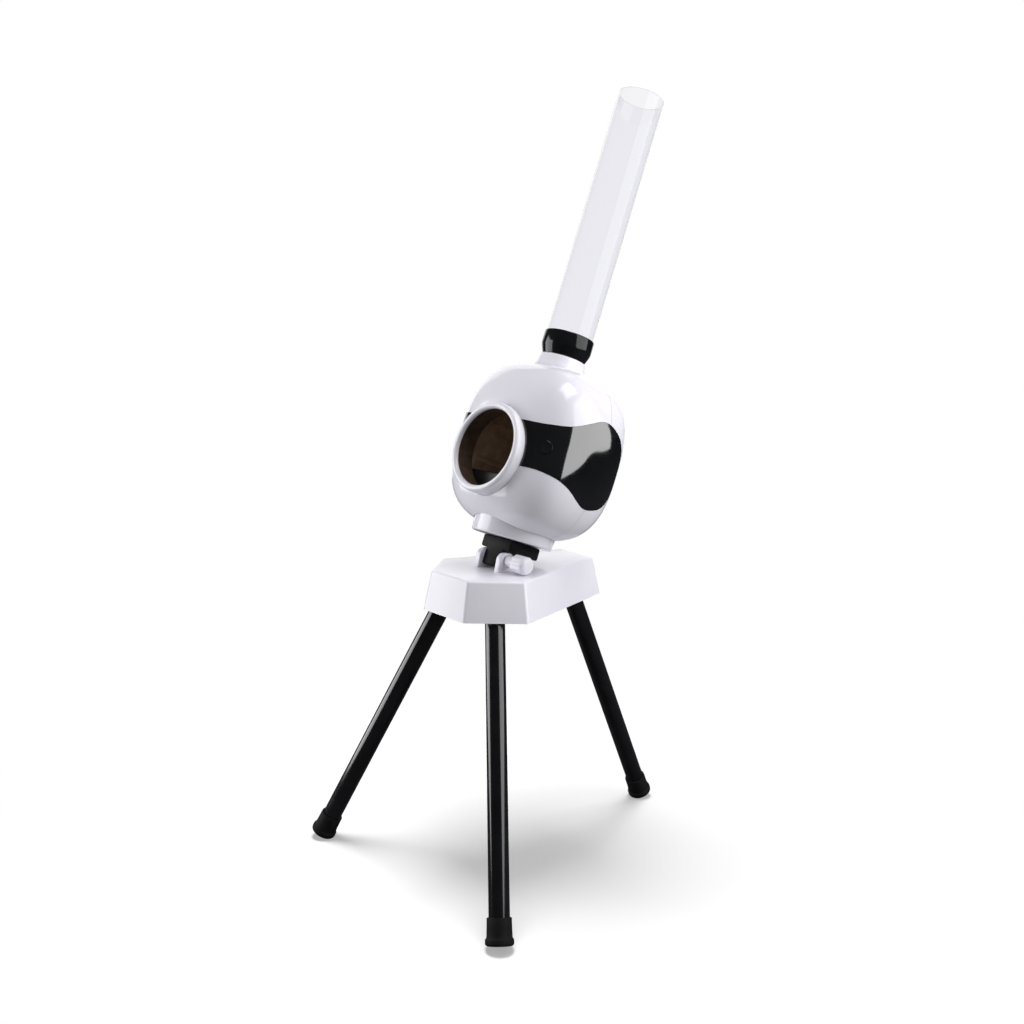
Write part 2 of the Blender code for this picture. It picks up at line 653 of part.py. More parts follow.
def make_clamp(root, knob_axis):
    """Hexagon bolt through both ears, a washer and the knob that pulls it tight."""
    head_x = -EAR_OUTER - GAP
    knob_x = EAR_OUTER + GAP + WASHER_T + GAP
    end_x = knob_x + BOLT_IN_KNOB
    bolt = add_rod("clamp_bolt", (head_x, PIVOT_Y, PIVOT_Z), (end_x, PIVOT_Y, PIVOT_Z), BOLT_R, root)
    head = add_rod("bolt_head", (head_x - BOLT_HEAD_T, PIVOT_Y, PIVOT_Z),
                   (head_x + 0.00002, PIVOT_Y, PIVOT_Z), BOLT_HEAD_R, root, True, 6)
    join(bolt, head)
    paint(bolt, STEEL, 0.3, 1.0)

    bore = BOLT_R + GAP
    washer = add_turned("clamp_washer", [(WASHER_R, WASHER_T), (WASHER_R, 0.0), (bore, 0.0),
                                         (bore, WASHER_T)], root, steps=24)
    washer.matrix_local = Matrix.Translation((EAR_OUTER + GAP, PIVOT_Y, PIVOT_Z)) @ along((1, 0, 0))
    paint(washer, STEEL, 0.3, 1.0)

    start = WASHER_T + 2 * GAP + EAR_OUTER
    hub_end = start + KNOB_HUB_L
    end = hub_end + KNOB_L
    crown = [(end - KNOB_R * 0.55 + KNOB_R * 0.55 * math.sin(math.radians(a)),
              KNOB_R * 0.45 + KNOB_R * 0.55 * math.cos(math.radians(a))) for a in (15, 35, 55, 75, 90)]
    outer = [(start, KNOB_HUB_R - 0.0006), (start + 0.0006, KNOB_HUB_R), (hub_end - 0.0030, KNOB_HUB_R),
             (hub_end, KNOB_R - 0.0012), (hub_end + 0.0015, KNOB_R)]
    outer += [(end - KNOB_R * 0.55, KNOB_R)] + crown + [(end, 0.0)]
    depth = knob_x + BOLT_IN_KNOB + GAP
    inner = [(depth, 0.0), (depth, bore), (start, bore)]
    steps = 4 * KNOB_FLUTES
    bm = bmesh.new()
    profile = outer + inner
    verts = [bm.verts.new((x, radius, 0.0)) for x, radius in profile]
    edges = [bm.edges.new((verts[i], verts[(i + 1) % len(verts)])) for i in range(len(verts))]
    axis_edge = [e for e in edges if all(v.co.y < 0.00001 for v in e.verts)]
    edges = [e for e in edges if e not in axis_edge]
    for edge in axis_edge:
        bm.edges.remove(edge)
    bmesh.ops.spin(bm, geom=verts + edges, axis=(1, 0, 0), cent=(0, 0, 0), steps=steps,
                   angle=math.tau, use_merge=True)
    bmesh.ops.remove_doubles(bm, verts=bm.verts, dist=0.00001)
    for vert in bm.verts:
        radius = vert.co.yz.length
        if radius > KNOB_R - 0.0013 and vert.co.x > hub_end - 0.0005:
            turn = math.atan2(vert.co.z, vert.co.y)
            dip = KNOB_FLUTE_DEPTH * (0.5 - 0.5 * math.cos(KNOB_FLUTES * turn))
            vert.co.yz = vert.co.yz * (radius - dip) / radius
    knob = mesh_from("clamp_knob", bm, knob_axis)
    paint(knob, WHITE, 0.3)


# Tilt bracket and skirt

def make_bracket(head):
    back = BRACKET_FRONT + BRACKET_DEPTH
    block = add_box("tilt_bracket", (-BRACKET_HALF, BRACKET_FRONT, BRACKET_BOTTOM),
                    (BRACKET_HALF, back, BRACKET_TOP), head)
    bevel(block, BRACKET_EDGE_R, 2)
    corner = math.degrees(math.acos(-BRACKET_FRONT / TONGUE_R))
    top = BRACKET_BOTTOM + BRACKET_HEIGHT / 2
    outline = [(BRACKET_FRONT, top)]
    outline += arc((0.0, 0.0), TONGUE_R, 180 + corner, 360, 14)
    outline += [(TONGUE_R + TONGUE_WEB_LOW, TONGUE_WEB_Z), (TONGUE_R + TONGUE_WEB, BRACKET_BOTTOM),
                (TONGUE_R + TONGUE_WEB, top)]
    tongue = add_side_plate("tongue", outline, -TONGUE_HALF, TONGUE_HALF, head, True)
    join(block, tongue)
    cut(block, add_rod("tongue_hole", (-BRACKET_HALF, 0, 0), (BRACKET_HALF, 0, 0), BOLT_R + GAP, head, True))
    heads = []
    y = BRACKET_SCREW_Y
    for x in (-BRACKET_SCREW_X, BRACKET_SCREW_X):
        name = "bracket_hole_%d" % (x > 0)
        cut(block, add_rod(name, (x, y, BRACKET_BOTTOM - OVERRUN), (x, y, BRACKET_TOP + OVERRUN),
                           SCREW_R + GAP, head, True))
        cut(block, add_rod(name + "_recess", (x, y, BRACKET_BOTTOM - OVERRUN),
                           (x, y, BRACKET_BOTTOM + COUNTERBORE), SCREW_HEAD_R + GAP, head, True))
        heads.append((x, y, BRACKET_BOTTOM + COUNTERBORE - GAP))
    paint(block, BLACK_SATIN, 0.42)
    length = BRACKET_TOP - BRACKET_BOTTOM - COUNTERBORE + SKIRT_FLOOR_T + SCREW_BITE
    add_screws("bracket_screw", heads, (0, 0, -1), length, head)
    return heads


def make_skirt(head, screw_places):
    top = SKIRT_BOTTOM + SKIRT_HEIGHT
    floor = SKIRT_BOTTOM + SKIRT_FLOOR_T
    profile = [(SKIRT_TOP_R, top)]
    profile += arc((SKIRT_R - SKIRT_EDGE_R, SKIRT_BOTTOM + SKIRT_EDGE_R), SKIRT_EDGE_R, 0, -90, 3)
    profile += [(0.0, SKIRT_BOTTOM), (0.0, floor), (SKIRT_R - SKIRT_WALL, floor),
                (SKIRT_TOP_R - SKIRT_WALL, top)]
    skirt = add_turned("head_skirt", profile, head, steps=40)
    skirt.location = (0.0, HEAD_Y, 0.0)
    boss_top = floor + SKIRT_BOSS_H
    for i, (x, y, z) in enumerate(screw_places):
        join(skirt, add_rod("skirt_boss_%d" % i, (x, y, floor - SINK), (x, y, boss_top),
                            SKIRT_BOSS_R, head, True))
        cut(skirt, add_rod("skirt_hole_%d" % i, (x, y, SKIRT_BOTTOM - OVERRUN), (x, y, boss_top + OVERRUN),
                           SCREW_R + GAP, head, True))
    return paint(skirt, WHITE, 0.28)


# Head shells

def add_bulb(name, grow, head, cutter=True, inside=False):
    """Closed rounded form of the head, grown or shrunk evenly by grow."""
    bm = bmesh.new()
    segments, rings = (INSIDE_SEGMENTS, INSIDE_RINGS) if inside else (HEAD_SEGMENTS, HEAD_RINGS)
    bmesh.ops.create_uvsphere(bm, u_segments=segments, v_segments=rings, radius=1.0)
    half = Vector((HEAD_HALF_X + grow, HEAD_HALF_Y + grow, HEAD_HALF_Z + grow))
    for vert in bm.verts:
        ray = vert.co.normalized()
        total = sum(abs(ray[i] / half[i]) ** HEAD_POWER for i in range(3))
        vert.co = ray * total ** (-1.0 / HEAD_POWER) + Vector((0.0, HEAD_Y, HEAD_Z))
    return mesh_from(name, bm, head, cutter)


def head_half_width(y, z):
    """Half width of the head's form at a place seen from the side."""
    rest = 1.0 - abs((y - HEAD_Y) / HEAD_HALF_Y) ** HEAD_POWER - abs((z - HEAD_Z) / HEAD_HALF_Z) ** HEAD_POWER
    return HEAD_HALF_X * rest ** (1.0 / HEAD_POWER)


def smooth_loop(corners, steps):
    """Closed smooth curve through the given points."""
    count = len(corners)
    points = []
    for i in range(count):
        a, b, c, d = (Vector(corners[(i + k) % count]) for k in (-1, 0, 1, 2))
        for j in range(steps):
            t = j / steps
            points.append(0.5 * ((2 * b) + (c - a) * t + (2 * a - 5 * b + 4 * c - d) * t * t
                                 + (3 * b - a - 3 * c + d) * t * t * t))
    return [(p.x, p.y) for p in points]


# Side view of the visor as (Y, Z) places on the head, clockwise from the top front
VISOR_OUTLINE = [(-0.0900, 0.1865), (-0.0620, 0.1920), (-0.0340, 0.1990), (-0.0080, 0.2115),
                 (0.0110, 0.2205), (0.0260, 0.2230), (0.0440, 0.2185), (0.0640, 0.2060),
                 (0.0790, 0.1840), (0.0830, 0.1580), (0.0790, 0.1280), (0.0640, 0.1085),
                 (0.0450, 0.1005), (0.0280, 0.0990), (0.0100, 0.1055), (-0.0080, 0.1145),
                 (-0.0300, 0.1230), (-0.0560, 0.1285), (-0.0900, 0.1330)]


def widened(outline, offset):
    """Outline moved out by offset, for the recess round a panel."""
    count = len(outline)
    wide = []
    for i in range(count):
        before = (Vector(outline[i]) - Vector(outline[i - 1])).normalized()
        after = (Vector(outline[(i + 1) % count]) - Vector(outline[i])).normalized()
        tangent = (before + after).normalized()
        wide.append((outline[i][0] - tangent.y * offset, outline[i][1] + tangent.x * offset))
    return wide


def boss_places():
    x = head_half_width(SPLIT_Y, HEAD_Z + BOSS_Z) - BOSS_INSET
    return [(side_x * x, HEAD_Z + side_z * BOSS_Z) for side_x in (1, -1) for side_z in (1, -1)]


def make_shells(head):
    inner = add_bulb("shell_inside", -SHELL_WALL, head, inside=True)
    mouth = add_rod("mouth_opening", (0, HEAD_Y, MOUTH_Z), (0, -FAR, MOUTH_Z), MOUTH_OPENING_R, head, True, 48)
    skirt = add_rod("skirt_opening", (0, HEAD_Y, 0.0), (0, HEAD_Y, HEAD_Z), SKIRT_TOP_R + GAP, head, True, 36)
    neck = add_rod("neck_opening", (0, TUBE_Y, HEAD_Z), (0, TUBE_Y, FAR * 2), NECK_R + GAP, head, True, 40)
    recess_floor = add_bulb("recess_floor", -VISOR_T - GAP, head)
    outline = smooth_loop(VISOR_OUTLINE, 2)
    wide = widened(outline, GAP)
    recesses = []
    for side in (1, -1):
        low, high = sorted((side * VISOR_INNER_X, side * VISOR_OUTER_X))
        recess = add_side_plate("visor_recess_%d" % (side > 0), wide, low, high, head, True)
        recesses.append(cut(recess, recess_floor))

    front = add_bulb("front_shell", 0.0, head, cutter=False)
    rear = add_bulb("rear_shell", 0.0, head, cutter=False)
    behind = add_box("behind_split", (-FAR, SPLIT_Y, -FAR), (FAR, FAR, FAR * 3), head, True)
    ahead = add_box("ahead_of_split", (-FAR, -FAR, -FAR), (FAR, SPLIT_Y + GAP, FAR * 3), head, True)
    cut(front, behind, inner, skirt, neck)
    cut(rear, ahead, inner, skirt, neck)
    screws = []
    for i, (x, z) in enumerate(boss_places()):
        front_boss = add_rod("front_boss_%d" % i, (x, SPLIT_Y - BOSS_L, z), (x, SPLIT_Y - BOSS_SHY, z),
                             BOSS_R, head, True)
        rear_boss = add_rod("rear_boss_%d" % i, (x, SPLIT_Y + GAP + BOSS_SHY, z), (x, SPLIT_Y + BOSS_L, z),
                            BOSS_R, head, True)
        join(front, front_boss)
        join(rear, rear_boss)
        seat = SPLIT_Y + BOSS_L - BOSS_SEAT
        pilot = add_rod("shell_pilot_%d" % i, (x, SPLIT_Y - BOSS_L + BOSS_BLIND, z), (x, seat + OVERRUN, z),
                        SCREW_R + GAP, head, True)
        access = add_rod("shell_access_%d" % i, (x, seat, z), (x, FAR, z), SCREW_HEAD_R + GAP, head, True)
        cut(front, pilot)
        cut(rear, pilot, access)
        screws.append((x, seat + GAP, z))
    cut(front, mouth, *recesses)
    cut(rear, *recesses)
    add_screws("shell_screw", screws, (0, 1, 0), 2 * (BOSS_L - BOSS_BLIND) - BOSS_SEAT, head)

    door_hole = add_plate("door_opening", door_outline(GAP), DOOR_CUT, head, True)
    door_hole.rotation_euler = FORWARD
    door_hole.location = (0.0, HEAD_Y + DOOR_CUT, HEAD_Z)
    cut(rear, door_hole)
    paint(front, WHITE, 0.22)
    paint(rear, WHITE, 0.22)
    return front


def make_visors(head, front, button_frame):
    outline = smooth_loop(VISOR_OUTLINE, 2)
    under = add_bulb("visor_underside", -VISOR_T, head)
    ring_clear = add_rod("ring_clearance", (0, HEAD_Y, MOUTH_Z), (0, -FAR, MOUTH_Z), MOUTH_OPENING_R + GAP,
                         head, True, 48)
    for side, name in ((1, "visor_right"), (-1, "visor_left")):
        low, high = sorted((side * VISOR_INNER_X, side * VISOR_OUTER_X))
        panel = add_bulb(name, VISOR_PROUD, head, cutter=False)
        blank = add_side_plate(name + "_outline", outline, low, high, head, True)
        keep_inside(panel, blank)
        cut(panel, under, ring_clear)
        if side > 0:
            hole = add_rod("button_hole", (0, 0, -BUTTON_HOLE_REACH), (0, 0, BUTTON_HOLE_REACH), BUTTON_R + GAP,
                           button_frame, True, 24)
            cut(panel, hole)
            cut(front, hole)
        paint(panel, BLACK_GLOSS, 0.06)


def button_place():
    """Place on the head's surface, and the direction that the surface faces there."""
    place = Vector((head_half_width(BUTTON_Y, BUTTON_Z), BUTTON_Y, BUTTON_Z))
    off = place - Vector((0.0, HEAD_Y, HEAD_Z))
    half = (HEAD_HALF_X, HEAD_HALF_Y, HEAD_HALF_Z)
    normal = Vector([math.copysign(abs(off[i]) ** (HEAD_POWER - 1) / half[i] ** HEAD_POWER, off[i])
                     for i in range(3)])
    return place, normal.normalized()


def make_button(front, button_frame, button_axis):
    dish = BUTTON_PROUD - BUTTON_DISH
    profile = [(0.0, dish), (BUTTON_R * 0.35, dish), (BUTTON_R * 0.62, dish + 0.0003),
               (BUTTON_R * 0.80, BUTTON_PROUD), (BUTTON_R - 0.0006, BUTTON_PROUD),
               (BUTTON_R, BUTTON_PROUD - 0.0006), (BUTTON_R, -BUTTON_T), (0.0, -BUTTON_T)]
    cap = add_turned("power_button", profile, button_axis, closed=False, steps=24)
    paint(cap, BLACK_GLOSS, 0.12)

    seat = -BUTTON_T - BUTTON_TRAVEL - GAP
    half = SWITCH_SIZE / 2
    body = add_box("power_switch", (-half, -half, seat - SWITCH_T), (half, half, seat), button_frame)
    flange = add_box("switch_flange", (-POST_SPREAD - SWITCH_FLANGE, -half, seat - SWITCH_T),
                     (POST_SPREAD + SWITCH_FLANGE, half, seat - SWITCH_T + SWITCH_FLANGE_T), button_frame, True)
    join(body, flange)
    paint(body, BLACK_SATIN, 0.5, smooth=False)
    for side in (1, -1):
        x = side * POST_SPREAD
        post = add_rod("switch_post_%d" % (side > 0), (x, 0, -VISOR_T - SWITCH_POST_START),
                       (x, 0, seat - SWITCH_T + SWITCH_FLANGE_T + GAP), SWITCH_POST_R, button_frame, True, 12)
        join(front, post)


# Mouth ring and launch chamber

def make_mouth_ring(head):
    lip = (MOUTH_RING_R - MOUTH_R) / 2
    middle = MOUTH_R + lip
    profile = [(middle + r, h) for r, h in arc((0.0, MOUTH_CREST - lip), lip, 90, 0, 4)]
    bore = SLEEVE_R + GAP
    profile += [(MOUTH_RING_R, MOUTH_RING_BACK), (bore, MOUTH_RING_BACK), (bore, MOUTH_CREST - MOUTH_LIP),
                (MOUTH_R, MOUTH_CREST - MOUTH_LIP)]
    profile += [(middle + r, h) for r, h in arc((0.0, MOUTH_CREST - lip), lip, 180, 112.5, 3)]
    ring = add_turned("mouth_ring", profile, head, steps=40)
    ring.rotation_euler = FORWARD
    ring.location = (0.0, HEAD_Y, MOUTH_Z)
    return paint(ring, WHITE, 0.22)


def make_mouth_sleeve(head):
    """Plate on the chamber's front, with a short round sleeve inside the mouth ring."""
    plate = add_box("mouth_sleeve", (-CHAMBER_OUTER, SLEEVE_BACK - SLEEVE_PLATE_T, CHAMBER_BOTTOM),
                    (CHAMBER_OUTER, SLEEVE_BACK, CHAMBER_TOP), head)
    tip = HEAD_Y - MOUTH_CREST + MOUTH_LIP + GAP
    tube = add_rod("sleeve_tube", (0, SLEEVE_BACK - SINK, MOUTH_Z), (0, tip, MOUTH_Z), SLEEVE_R, head, True, 40)
    bore = add_rod("sleeve_bore", (0, SLEEVE_BACK + OVERRUN, MOUTH_Z), (0, tip - OVERRUN, MOUTH_Z),
                   SLEEVE_R - SLEEVE_WALL, head, True, 40)
    join(plate, tube)
    cut(plate, bore)
    paint(plate, DARK_BROWN, 0.45, smooth=False)


def make_chamber(head):
    outer = CHAMBER_OUTER
    room_top = CHAMBER_TOP - CHAMBER_WALL
    room_low = CHAMBER_BOTTOM + CHAMBER_WALL
    room_back = CHAMBER_BACK_Y - CHAMBER_WALL
    box = add_box("launch_chamber", (-outer, CHAMBER_FRONT, CHAMBER_BOTTOM),
                  (outer, CHAMBER_BACK_Y, CHAMBER_TOP), head)
    room = add_box("chamber_room", (-CHAMBER_HALF, CHAMBER_FRONT - OVERRUN, room_low),
                   (CHAMBER_HALF, room_back, room_top), head, True)
    cut(box, room)
    for i, z in enumerate(CHAMBER_RIB_Z):
        for side in (1, -1):
            low, high = sorted((side * (CHAMBER_HALF + SINK), side * (CHAMBER_HALF - CHAMBER_RIB)))
            rib = add_box("side_rib_%d_%d" % (i, side > 0),
                          (low, CHAMBER_FRONT + CHAMBER_RIB_START, z - CHAMBER_RIB_HALF),
                          (high, room_back + SINK, z + CHAMBER_RIB_HALF), head, True)
            join(box, rib)
    throat = add_rod("chamber_top_hole", (0, TUBE_Y, room_top - OVERRUN), (0, TUBE_Y, CHAMBER_TOP + OVERRUN),
                     THROAT_R, head, True, ROUND_STEPS)
    axle = add_rod("striker_bearing", (-outer - OVERRUN, STRIKER_Y, STRIKER_Z),
                   (outer + OVERRUN, STRIKER_Y, STRIKER_Z), STRIKER_AXLE_R + GAP, head, True)
    cut(box, throat, axle)
    for side in (1, -1):
        pin = (side * GATE_PIN_X, GATE_PIN_Y)
        cut(box, add_rod("gate_pin_hole_%d" % (side > 0), (*pin, room_top - OVERRUN),
                         (*pin, CHAMBER_TOP + OVERRUN), GATE_PIN_R + GAP, head, True))
    return paint(box, DARK_BROWN, 0.45, smooth=False)


# Hopper

def make_hopper(head, tube_axis):
    neck = add_turned("neck_ring", [(NECK_TOP_R - NECK_EDGE, NECK_TOP), (NECK_TOP_R, NECK_TOP - NECK_EDGE),
                                    (NECK_TOP_R + 0.0010, NECK_TOP - 0.0050),
                                    (NECK_R - 0.0010, NECK_SEAM + 0.0030), (NECK_R, NECK_SEAM),
                                    (NECK_R, NECK_BOTTOM), (THROAT_R + GAP, NECK_BOTTOM),
                                    (THROAT_R + GAP, NECK_TOP)], head, steps=40)
    neck.location = (0.0, TUBE_Y, 0.0)
    paint(neck, WHITE, 0.25)

    throat = add_turned("feed_throat", [(THROAT_R, NECK_TOP - GAP), (THROAT_R, THROAT_BOTTOM),
                                        (THROAT_BORE, THROAT_BOTTOM), (THROAT_BORE, NECK_TOP - GAP)], head)
    throat.location = (0.0, TUBE_Y, 0.0)
    paint(throat, BLACK_SATIN, 0.4)

    low = COLLAR_BOTTOM
    high = low + COLLAR_HEIGHT
    seat = low + COLLAR_SEAT
    bore = TUBE_R + GAP
    profile = [(COLLAR_R - 0.0012, high), (COLLAR_R - 0.0004, high - 0.0006), (COLLAR_R, high - 0.0100),
               (COLLAR_R, low + COLLAR_SHOULDER), (COLLAR_R - 0.0014, low + COLLAR_SHOULDER - 0.0060),
               (COLLAR_BOTTOM_R, low), (THROAT_BORE, low), (THROAT_BORE, seat), (bore, seat), (bore, high)]
    collar = add_turned("tube_collar", profile, head, steps=40)
    collar.location = (0.0, TUBE_Y, 0.0)
    paint(collar, BLACK_GLOSS, 0.15)

    inner = TUBE_R - TUBE_WALL
    tube = add_turned("hopper_tube", [(TUBE_R, TUBE_TOP), (TUBE_R, TUBE_BOTTOM), (inner, TUBE_BOTTOM),
                                      (inner, TUBE_TOP)], tube_axis, steps=40)
    tube.location = (0.0, 0.0, -TUBE_BOTTOM)
    paint(tube, CLEAR, 0.05)
    shader = tube.data.materials[0].node_tree.nodes["Principled BSDF"]
    shader.inputs["Transmission Weight"].default_value = 0.95


def gate_outline(side):
    """Claw seen from above: a curved jaw round one side of the throat, with an arm to its pin."""
    jaw = arc((0.0, TUBE_Y), GATE_OUTER_R, -50, 45, 10)
    eye = arc((GATE_PIN_X, GATE_PIN_Y), GATE_EYE_R, -60, 150, 7)
    hook = arc((0.0, TUBE_Y), GATE_INNER_R, 45, -50, 8)
    return [(side * x, y) for x, y in jaw[:9] + eye + jaw[10:] + hook]


def make_gates(gate_axes):
    """Each claw has a moulded pin below it that turns in the chamber's roof."""
    for side, axis in zip((1, -1), gate_axes):
        name = "feed_gate_%s" % ("right" if side > 0 else "left")
        outline = gate_outline(side)
        claw = add_plate(name, [(x - side * GATE_PIN_X, y - GATE_PIN_Y) for x, y in outline], GATE_T, axis)
        claw.location = (0.0, 0.0, GATE_T / 2)
        low = CHAMBER_TOP - CHAMBER_WALL - GATE_PIN_PAST - GATE_Z
        join(claw, add_rod(name + "_pin", (0, 0, low), (0, 0, GATE_T - SINK), GATE_PIN_R, axis, True))
        paint(claw, NYLON, 0.5, smooth=False)


# Striker

def make_striker(striker_axis):
    """Flap and axle turn together; the frame's origin is on the axle."""
    tip = Vector((STRIKER_TIP_Y - STRIKER_Y, STRIKER_TIP_Z - STRIKER_Z))
    length = tip.length
    along_tip = tip.normalized()
    across = Vector((-along_tip.y, along_tip.x)) * STRIKER_T / 2
    corners = [along_tip * STRIKER_HUB_R * 0.4 + across, along_tip * (length - STRIKER_TIP_TAPER) + across,
               along_tip * length + across * 0.4, along_tip * length - across * 0.4,
               along_tip * (length - STRIKER_TIP_TAPER) - across, along_tip * STRIKER_HUB_R * 0.4 - across]
    outline = [(p.x, p.y) for p in reversed(corners)]
    flap = add_side_plate("striker_flap", outline, -STRIKER_HALF, STRIKER_HALF, striker_axis)
    hub_half = CHAMBER_HALF - CHAMBER_RIB - 2 * GAP
    hub = add_rod("striker_hub", (-hub_half, 0, 0), (hub_half, 0, 0), STRIKER_HUB_R, striker_axis, True, 20)
    bore_half = CHAMBER_OUTER
    join(flap, hub)
    cut(flap, add_rod("striker_bore", (-bore_half, 0, 0), (bore_half, 0, 0), STRIKER_AXLE_R + GAP,
                      striker_axis, True))
    paint(flap, GREY, 0.3)

    spring_end = CHAMBER_OUTER + SPRING_TURNS * SPRING_PITCH + AXLE_PAST_SPRING
    axle = add_rod("striker_axle", (-spring_end, 0, 0), (OUTER_FRAME_X + FRAME_T + AXLE_PAST_FRAME, 0, 0),
                   STRIKER_AXLE_R, striker_axis)
    paint(axle, STEEL, 0.25, 1.0)


def make_sill(head):
    """Low plate across the front of the chamber, under the striker's axle."""
    half = CHAMBER_HALF - GAP
    low = CHAMBER_BOTTOM + CHAMBER_WALL + GAP
    sill = add_box("mouth_sill", (-half, SILL_Y, low), (half, SILL_Y + SILL_T, low + SILL_HEIGHT), head)
    bevel(sill, 0.0006, 1)
    paint(sill, GREY, 0.3, smooth=False)


def make_spring(head):
    """Torsion spring round the striker's axle, outside the chamber's left wall."""
    start = -CHAMBER_OUTER - GAP - SPRING_WIRE_R
    per_turn = 8
    edge = STRIKER_Y + SPRING_R
    points = [(start, edge, STRIKER_Z + SPRING_LEG), (start, edge, STRIKER_Z + SPRING_LEG / 2)]
    for i in range(SPRING_TURNS * per_turn + 1):
        angle = math.tau * i / per_turn
        points.append((start - SPRING_PITCH * i / per_turn, STRIKER_Y + SPRING_R * math.cos(angle),
                       STRIKER_Z - SPRING_R * math.sin(angle)))
    last = points[-1]
    points.append((last[0], last[1], last[2] - SPRING_LEG / 2))
    points.append((last[0], last[1], last[2] - SPRING_LEG))
    curve = bpy.data.curves.new("striker_spring", "CURVE")
    curve.dimensions = "3D"
    curve.bevel_depth = SPRING_WIRE_R
    curve.bevel_resolution = 1
    curve.use_fill_caps = True
    spline = curve.splines.new("POLY")
    spline.points.add(len(points) - 1)
    for point, place in zip(spline.points, points):
        point.co = (*place, 1.0)
    spring = curve_to_mesh("striker_spring", curve, head)
    return paint(spring, STEEL, 0.3, 1.0)


# Gear train

def gear_outline(teeth, start_deg):
    """Straight-sided teeth with a slack that keeps meshed gears apart."""
    pitch = GEAR_MODULE * teeth / 2
    tip = pitch + 0.85 * GEAR_MODULE
    root = pitch - 1.15 * GEAR_MODULE
    step = math.tau / teeth
    half_pitch = step / 4 - TOOTH_SLACK / 2 / pitch
    half_tip = half_pitch * 0.50
    half_root = min(half_pitch * 1.55, step * 0.42)
    points = []
    for i in range(teeth):
        middle = math.radians(start_deg) + i * step
        for radius, turn in ((root, -half_root), (tip, -half_tip), (tip, half_tip), (root, half_root)):
            points.append((radius * math.cos(middle + turn), radius * math.sin(middle + turn)))
    return points


def make_gears(striker_axis, pinion_axis):
    gear = add_side_plate("striker_gear", gear_outline(GEAR_TEETH, PINION_ANGLE_DEG), GEAR_X, GEAR_X + GEAR_T,
                          striker_axis)
    cut(gear, add_rod("gear_bore", (GEAR_X - OVERRUN, 0, 0), (GEAR_X + GEAR_T + OVERRUN, 0, 0),
                      STRIKER_AXLE_R + GAP, striker_axis, True))
    paint(gear, NYLON, 0.5, smooth=False)

    between_teeth = 180.0 / PINION_TEETH
    pinion = add_side_plate("motor_pinion", gear_outline(PINION_TEETH, PINION_ANGLE_DEG + 180 + between_teeth),
                            0.0, GEAR_T, pinion_axis)
    cut(pinion, add_rod("pinion_bore", (-OVERRUN, 0, 0), (GEAR_T + OVERRUN, 0, 0), MOTOR_SHAFT_R + GAP,
                        pinion_axis, True))
    paint(pinion, NYLON, 0.45, smooth=False)


def frame_outline():
    """Side view of the plates that carry the striker's axle and the motor."""
    turn = PINION_ANGLE_DEG
    return (arc((STRIKER_Y, STRIKER_Z), FRAME_R, turn + 100, turn + 260, 12)
            + arc((PINION_Y, PINION_Z), FRAME_MOTOR_R, turn - 80, turn + 80, 9))


def make_gear_frame(head):
    inner_x = FRAME_X
    outer_x = OUTER_FRAME_X
    inner = add_side_plate("gear_frame_inner", frame_outline(), inner_x, inner_x + FRAME_T, head)
    outer = add_side_plate("gear_frame_outer", frame_outline(), outer_x, outer_x + FRAME_T, head)
    for i, (centre, reach, turn) in enumerate((((PINION_Y, PINION_Z), FRAME_MOTOR_R, 0),
                                               ((PINION_Y, PINION_Z), FRAME_MOTOR_R, 75),
                                               ((PINION_Y, PINION_Z), FRAME_MOTOR_R, -75))):
        angle = math.radians(PINION_ANGLE_DEG + turn)
        away = reach - SPACER_R - 0.0006
        y = centre[0] + away * math.cos(angle)
        z = centre[1] + away * math.sin(angle)
        join(inner, add_rod("frame_spacer_%d" % i, (inner_x + FRAME_T / 2, y, z), (outer_x - GAP, y, z),
                            SPACER_R, head, True))
    low, high = inner_x - OVERRUN, outer_x + FRAME_T + OVERRUN
    axle = add_rod("frame_axle_hole", (low, STRIKER_Y, STRIKER_Z), (high, STRIKER_Y, STRIKER_Z),
                   STRIKER_AXLE_R + GAP, head, True)
    nose = add_rod("motor_nose_hole", (outer_x - OVERRUN, PINION_Y, PINION_Z), (high, PINION_Y, PINION_Z),
                   MOTOR_BOSS_R + GAP, head, True)
    cut(inner, axle)
    cut(outer, axle, nose)
    paint(inner, STEEL, 0.4, 1.0, smooth=False)
    paint(outer, STEEL, 0.4, 1.0, smooth=False)


def make_motor(head):
    face = OUTER_FRAME_X + FRAME_T + GAP
    nose = OUTER_FRAME_X + GAP
    tail = face + MOTOR_L
    shaft_end = FRAME_X + FRAME_T + GAP
    profile = [(0.0, tail + MOTOR_TAIL_L), (MOTOR_TAIL_R, tail + MOTOR_TAIL_L), (MOTOR_TAIL_R, tail),
               (MOTOR_R - 0.0015, tail), (MOTOR_R, tail - 0.0015), (MOTOR_R, face), (MOTOR_BOSS_R, face),
               (MOTOR_BOSS_R, nose), (MOTOR_SHAFT_R, nose), (MOTOR_SHAFT_R, shaft_end), (0.0, shaft_end)]
    motor = add_turned("drive_motor", profile, head, closed=False, steps=24)
    motor.matrix_local = Matrix.Translation((0.0, PINION_Y, PINION_Z)) @ along((1, 0, 0))
    paint(motor, STEEL, 0.3, 1.0)


# Electrics

def door_outline(offset):
    half = DOOR_HALF + offset
    height = CELL_L / 2 + DOOR_MARGIN + offset
    r = DOOR_CORNER_R
    points = arc((half - r, height - r), r, 0, 90, 4) + arc((-half + r, height - r), r, 90, 180, 4)
    points += arc((-half + r, -height + r), r, 180, 270, 4) + arc((half - r, -height + r), r, 270, 360, 4)
    return points


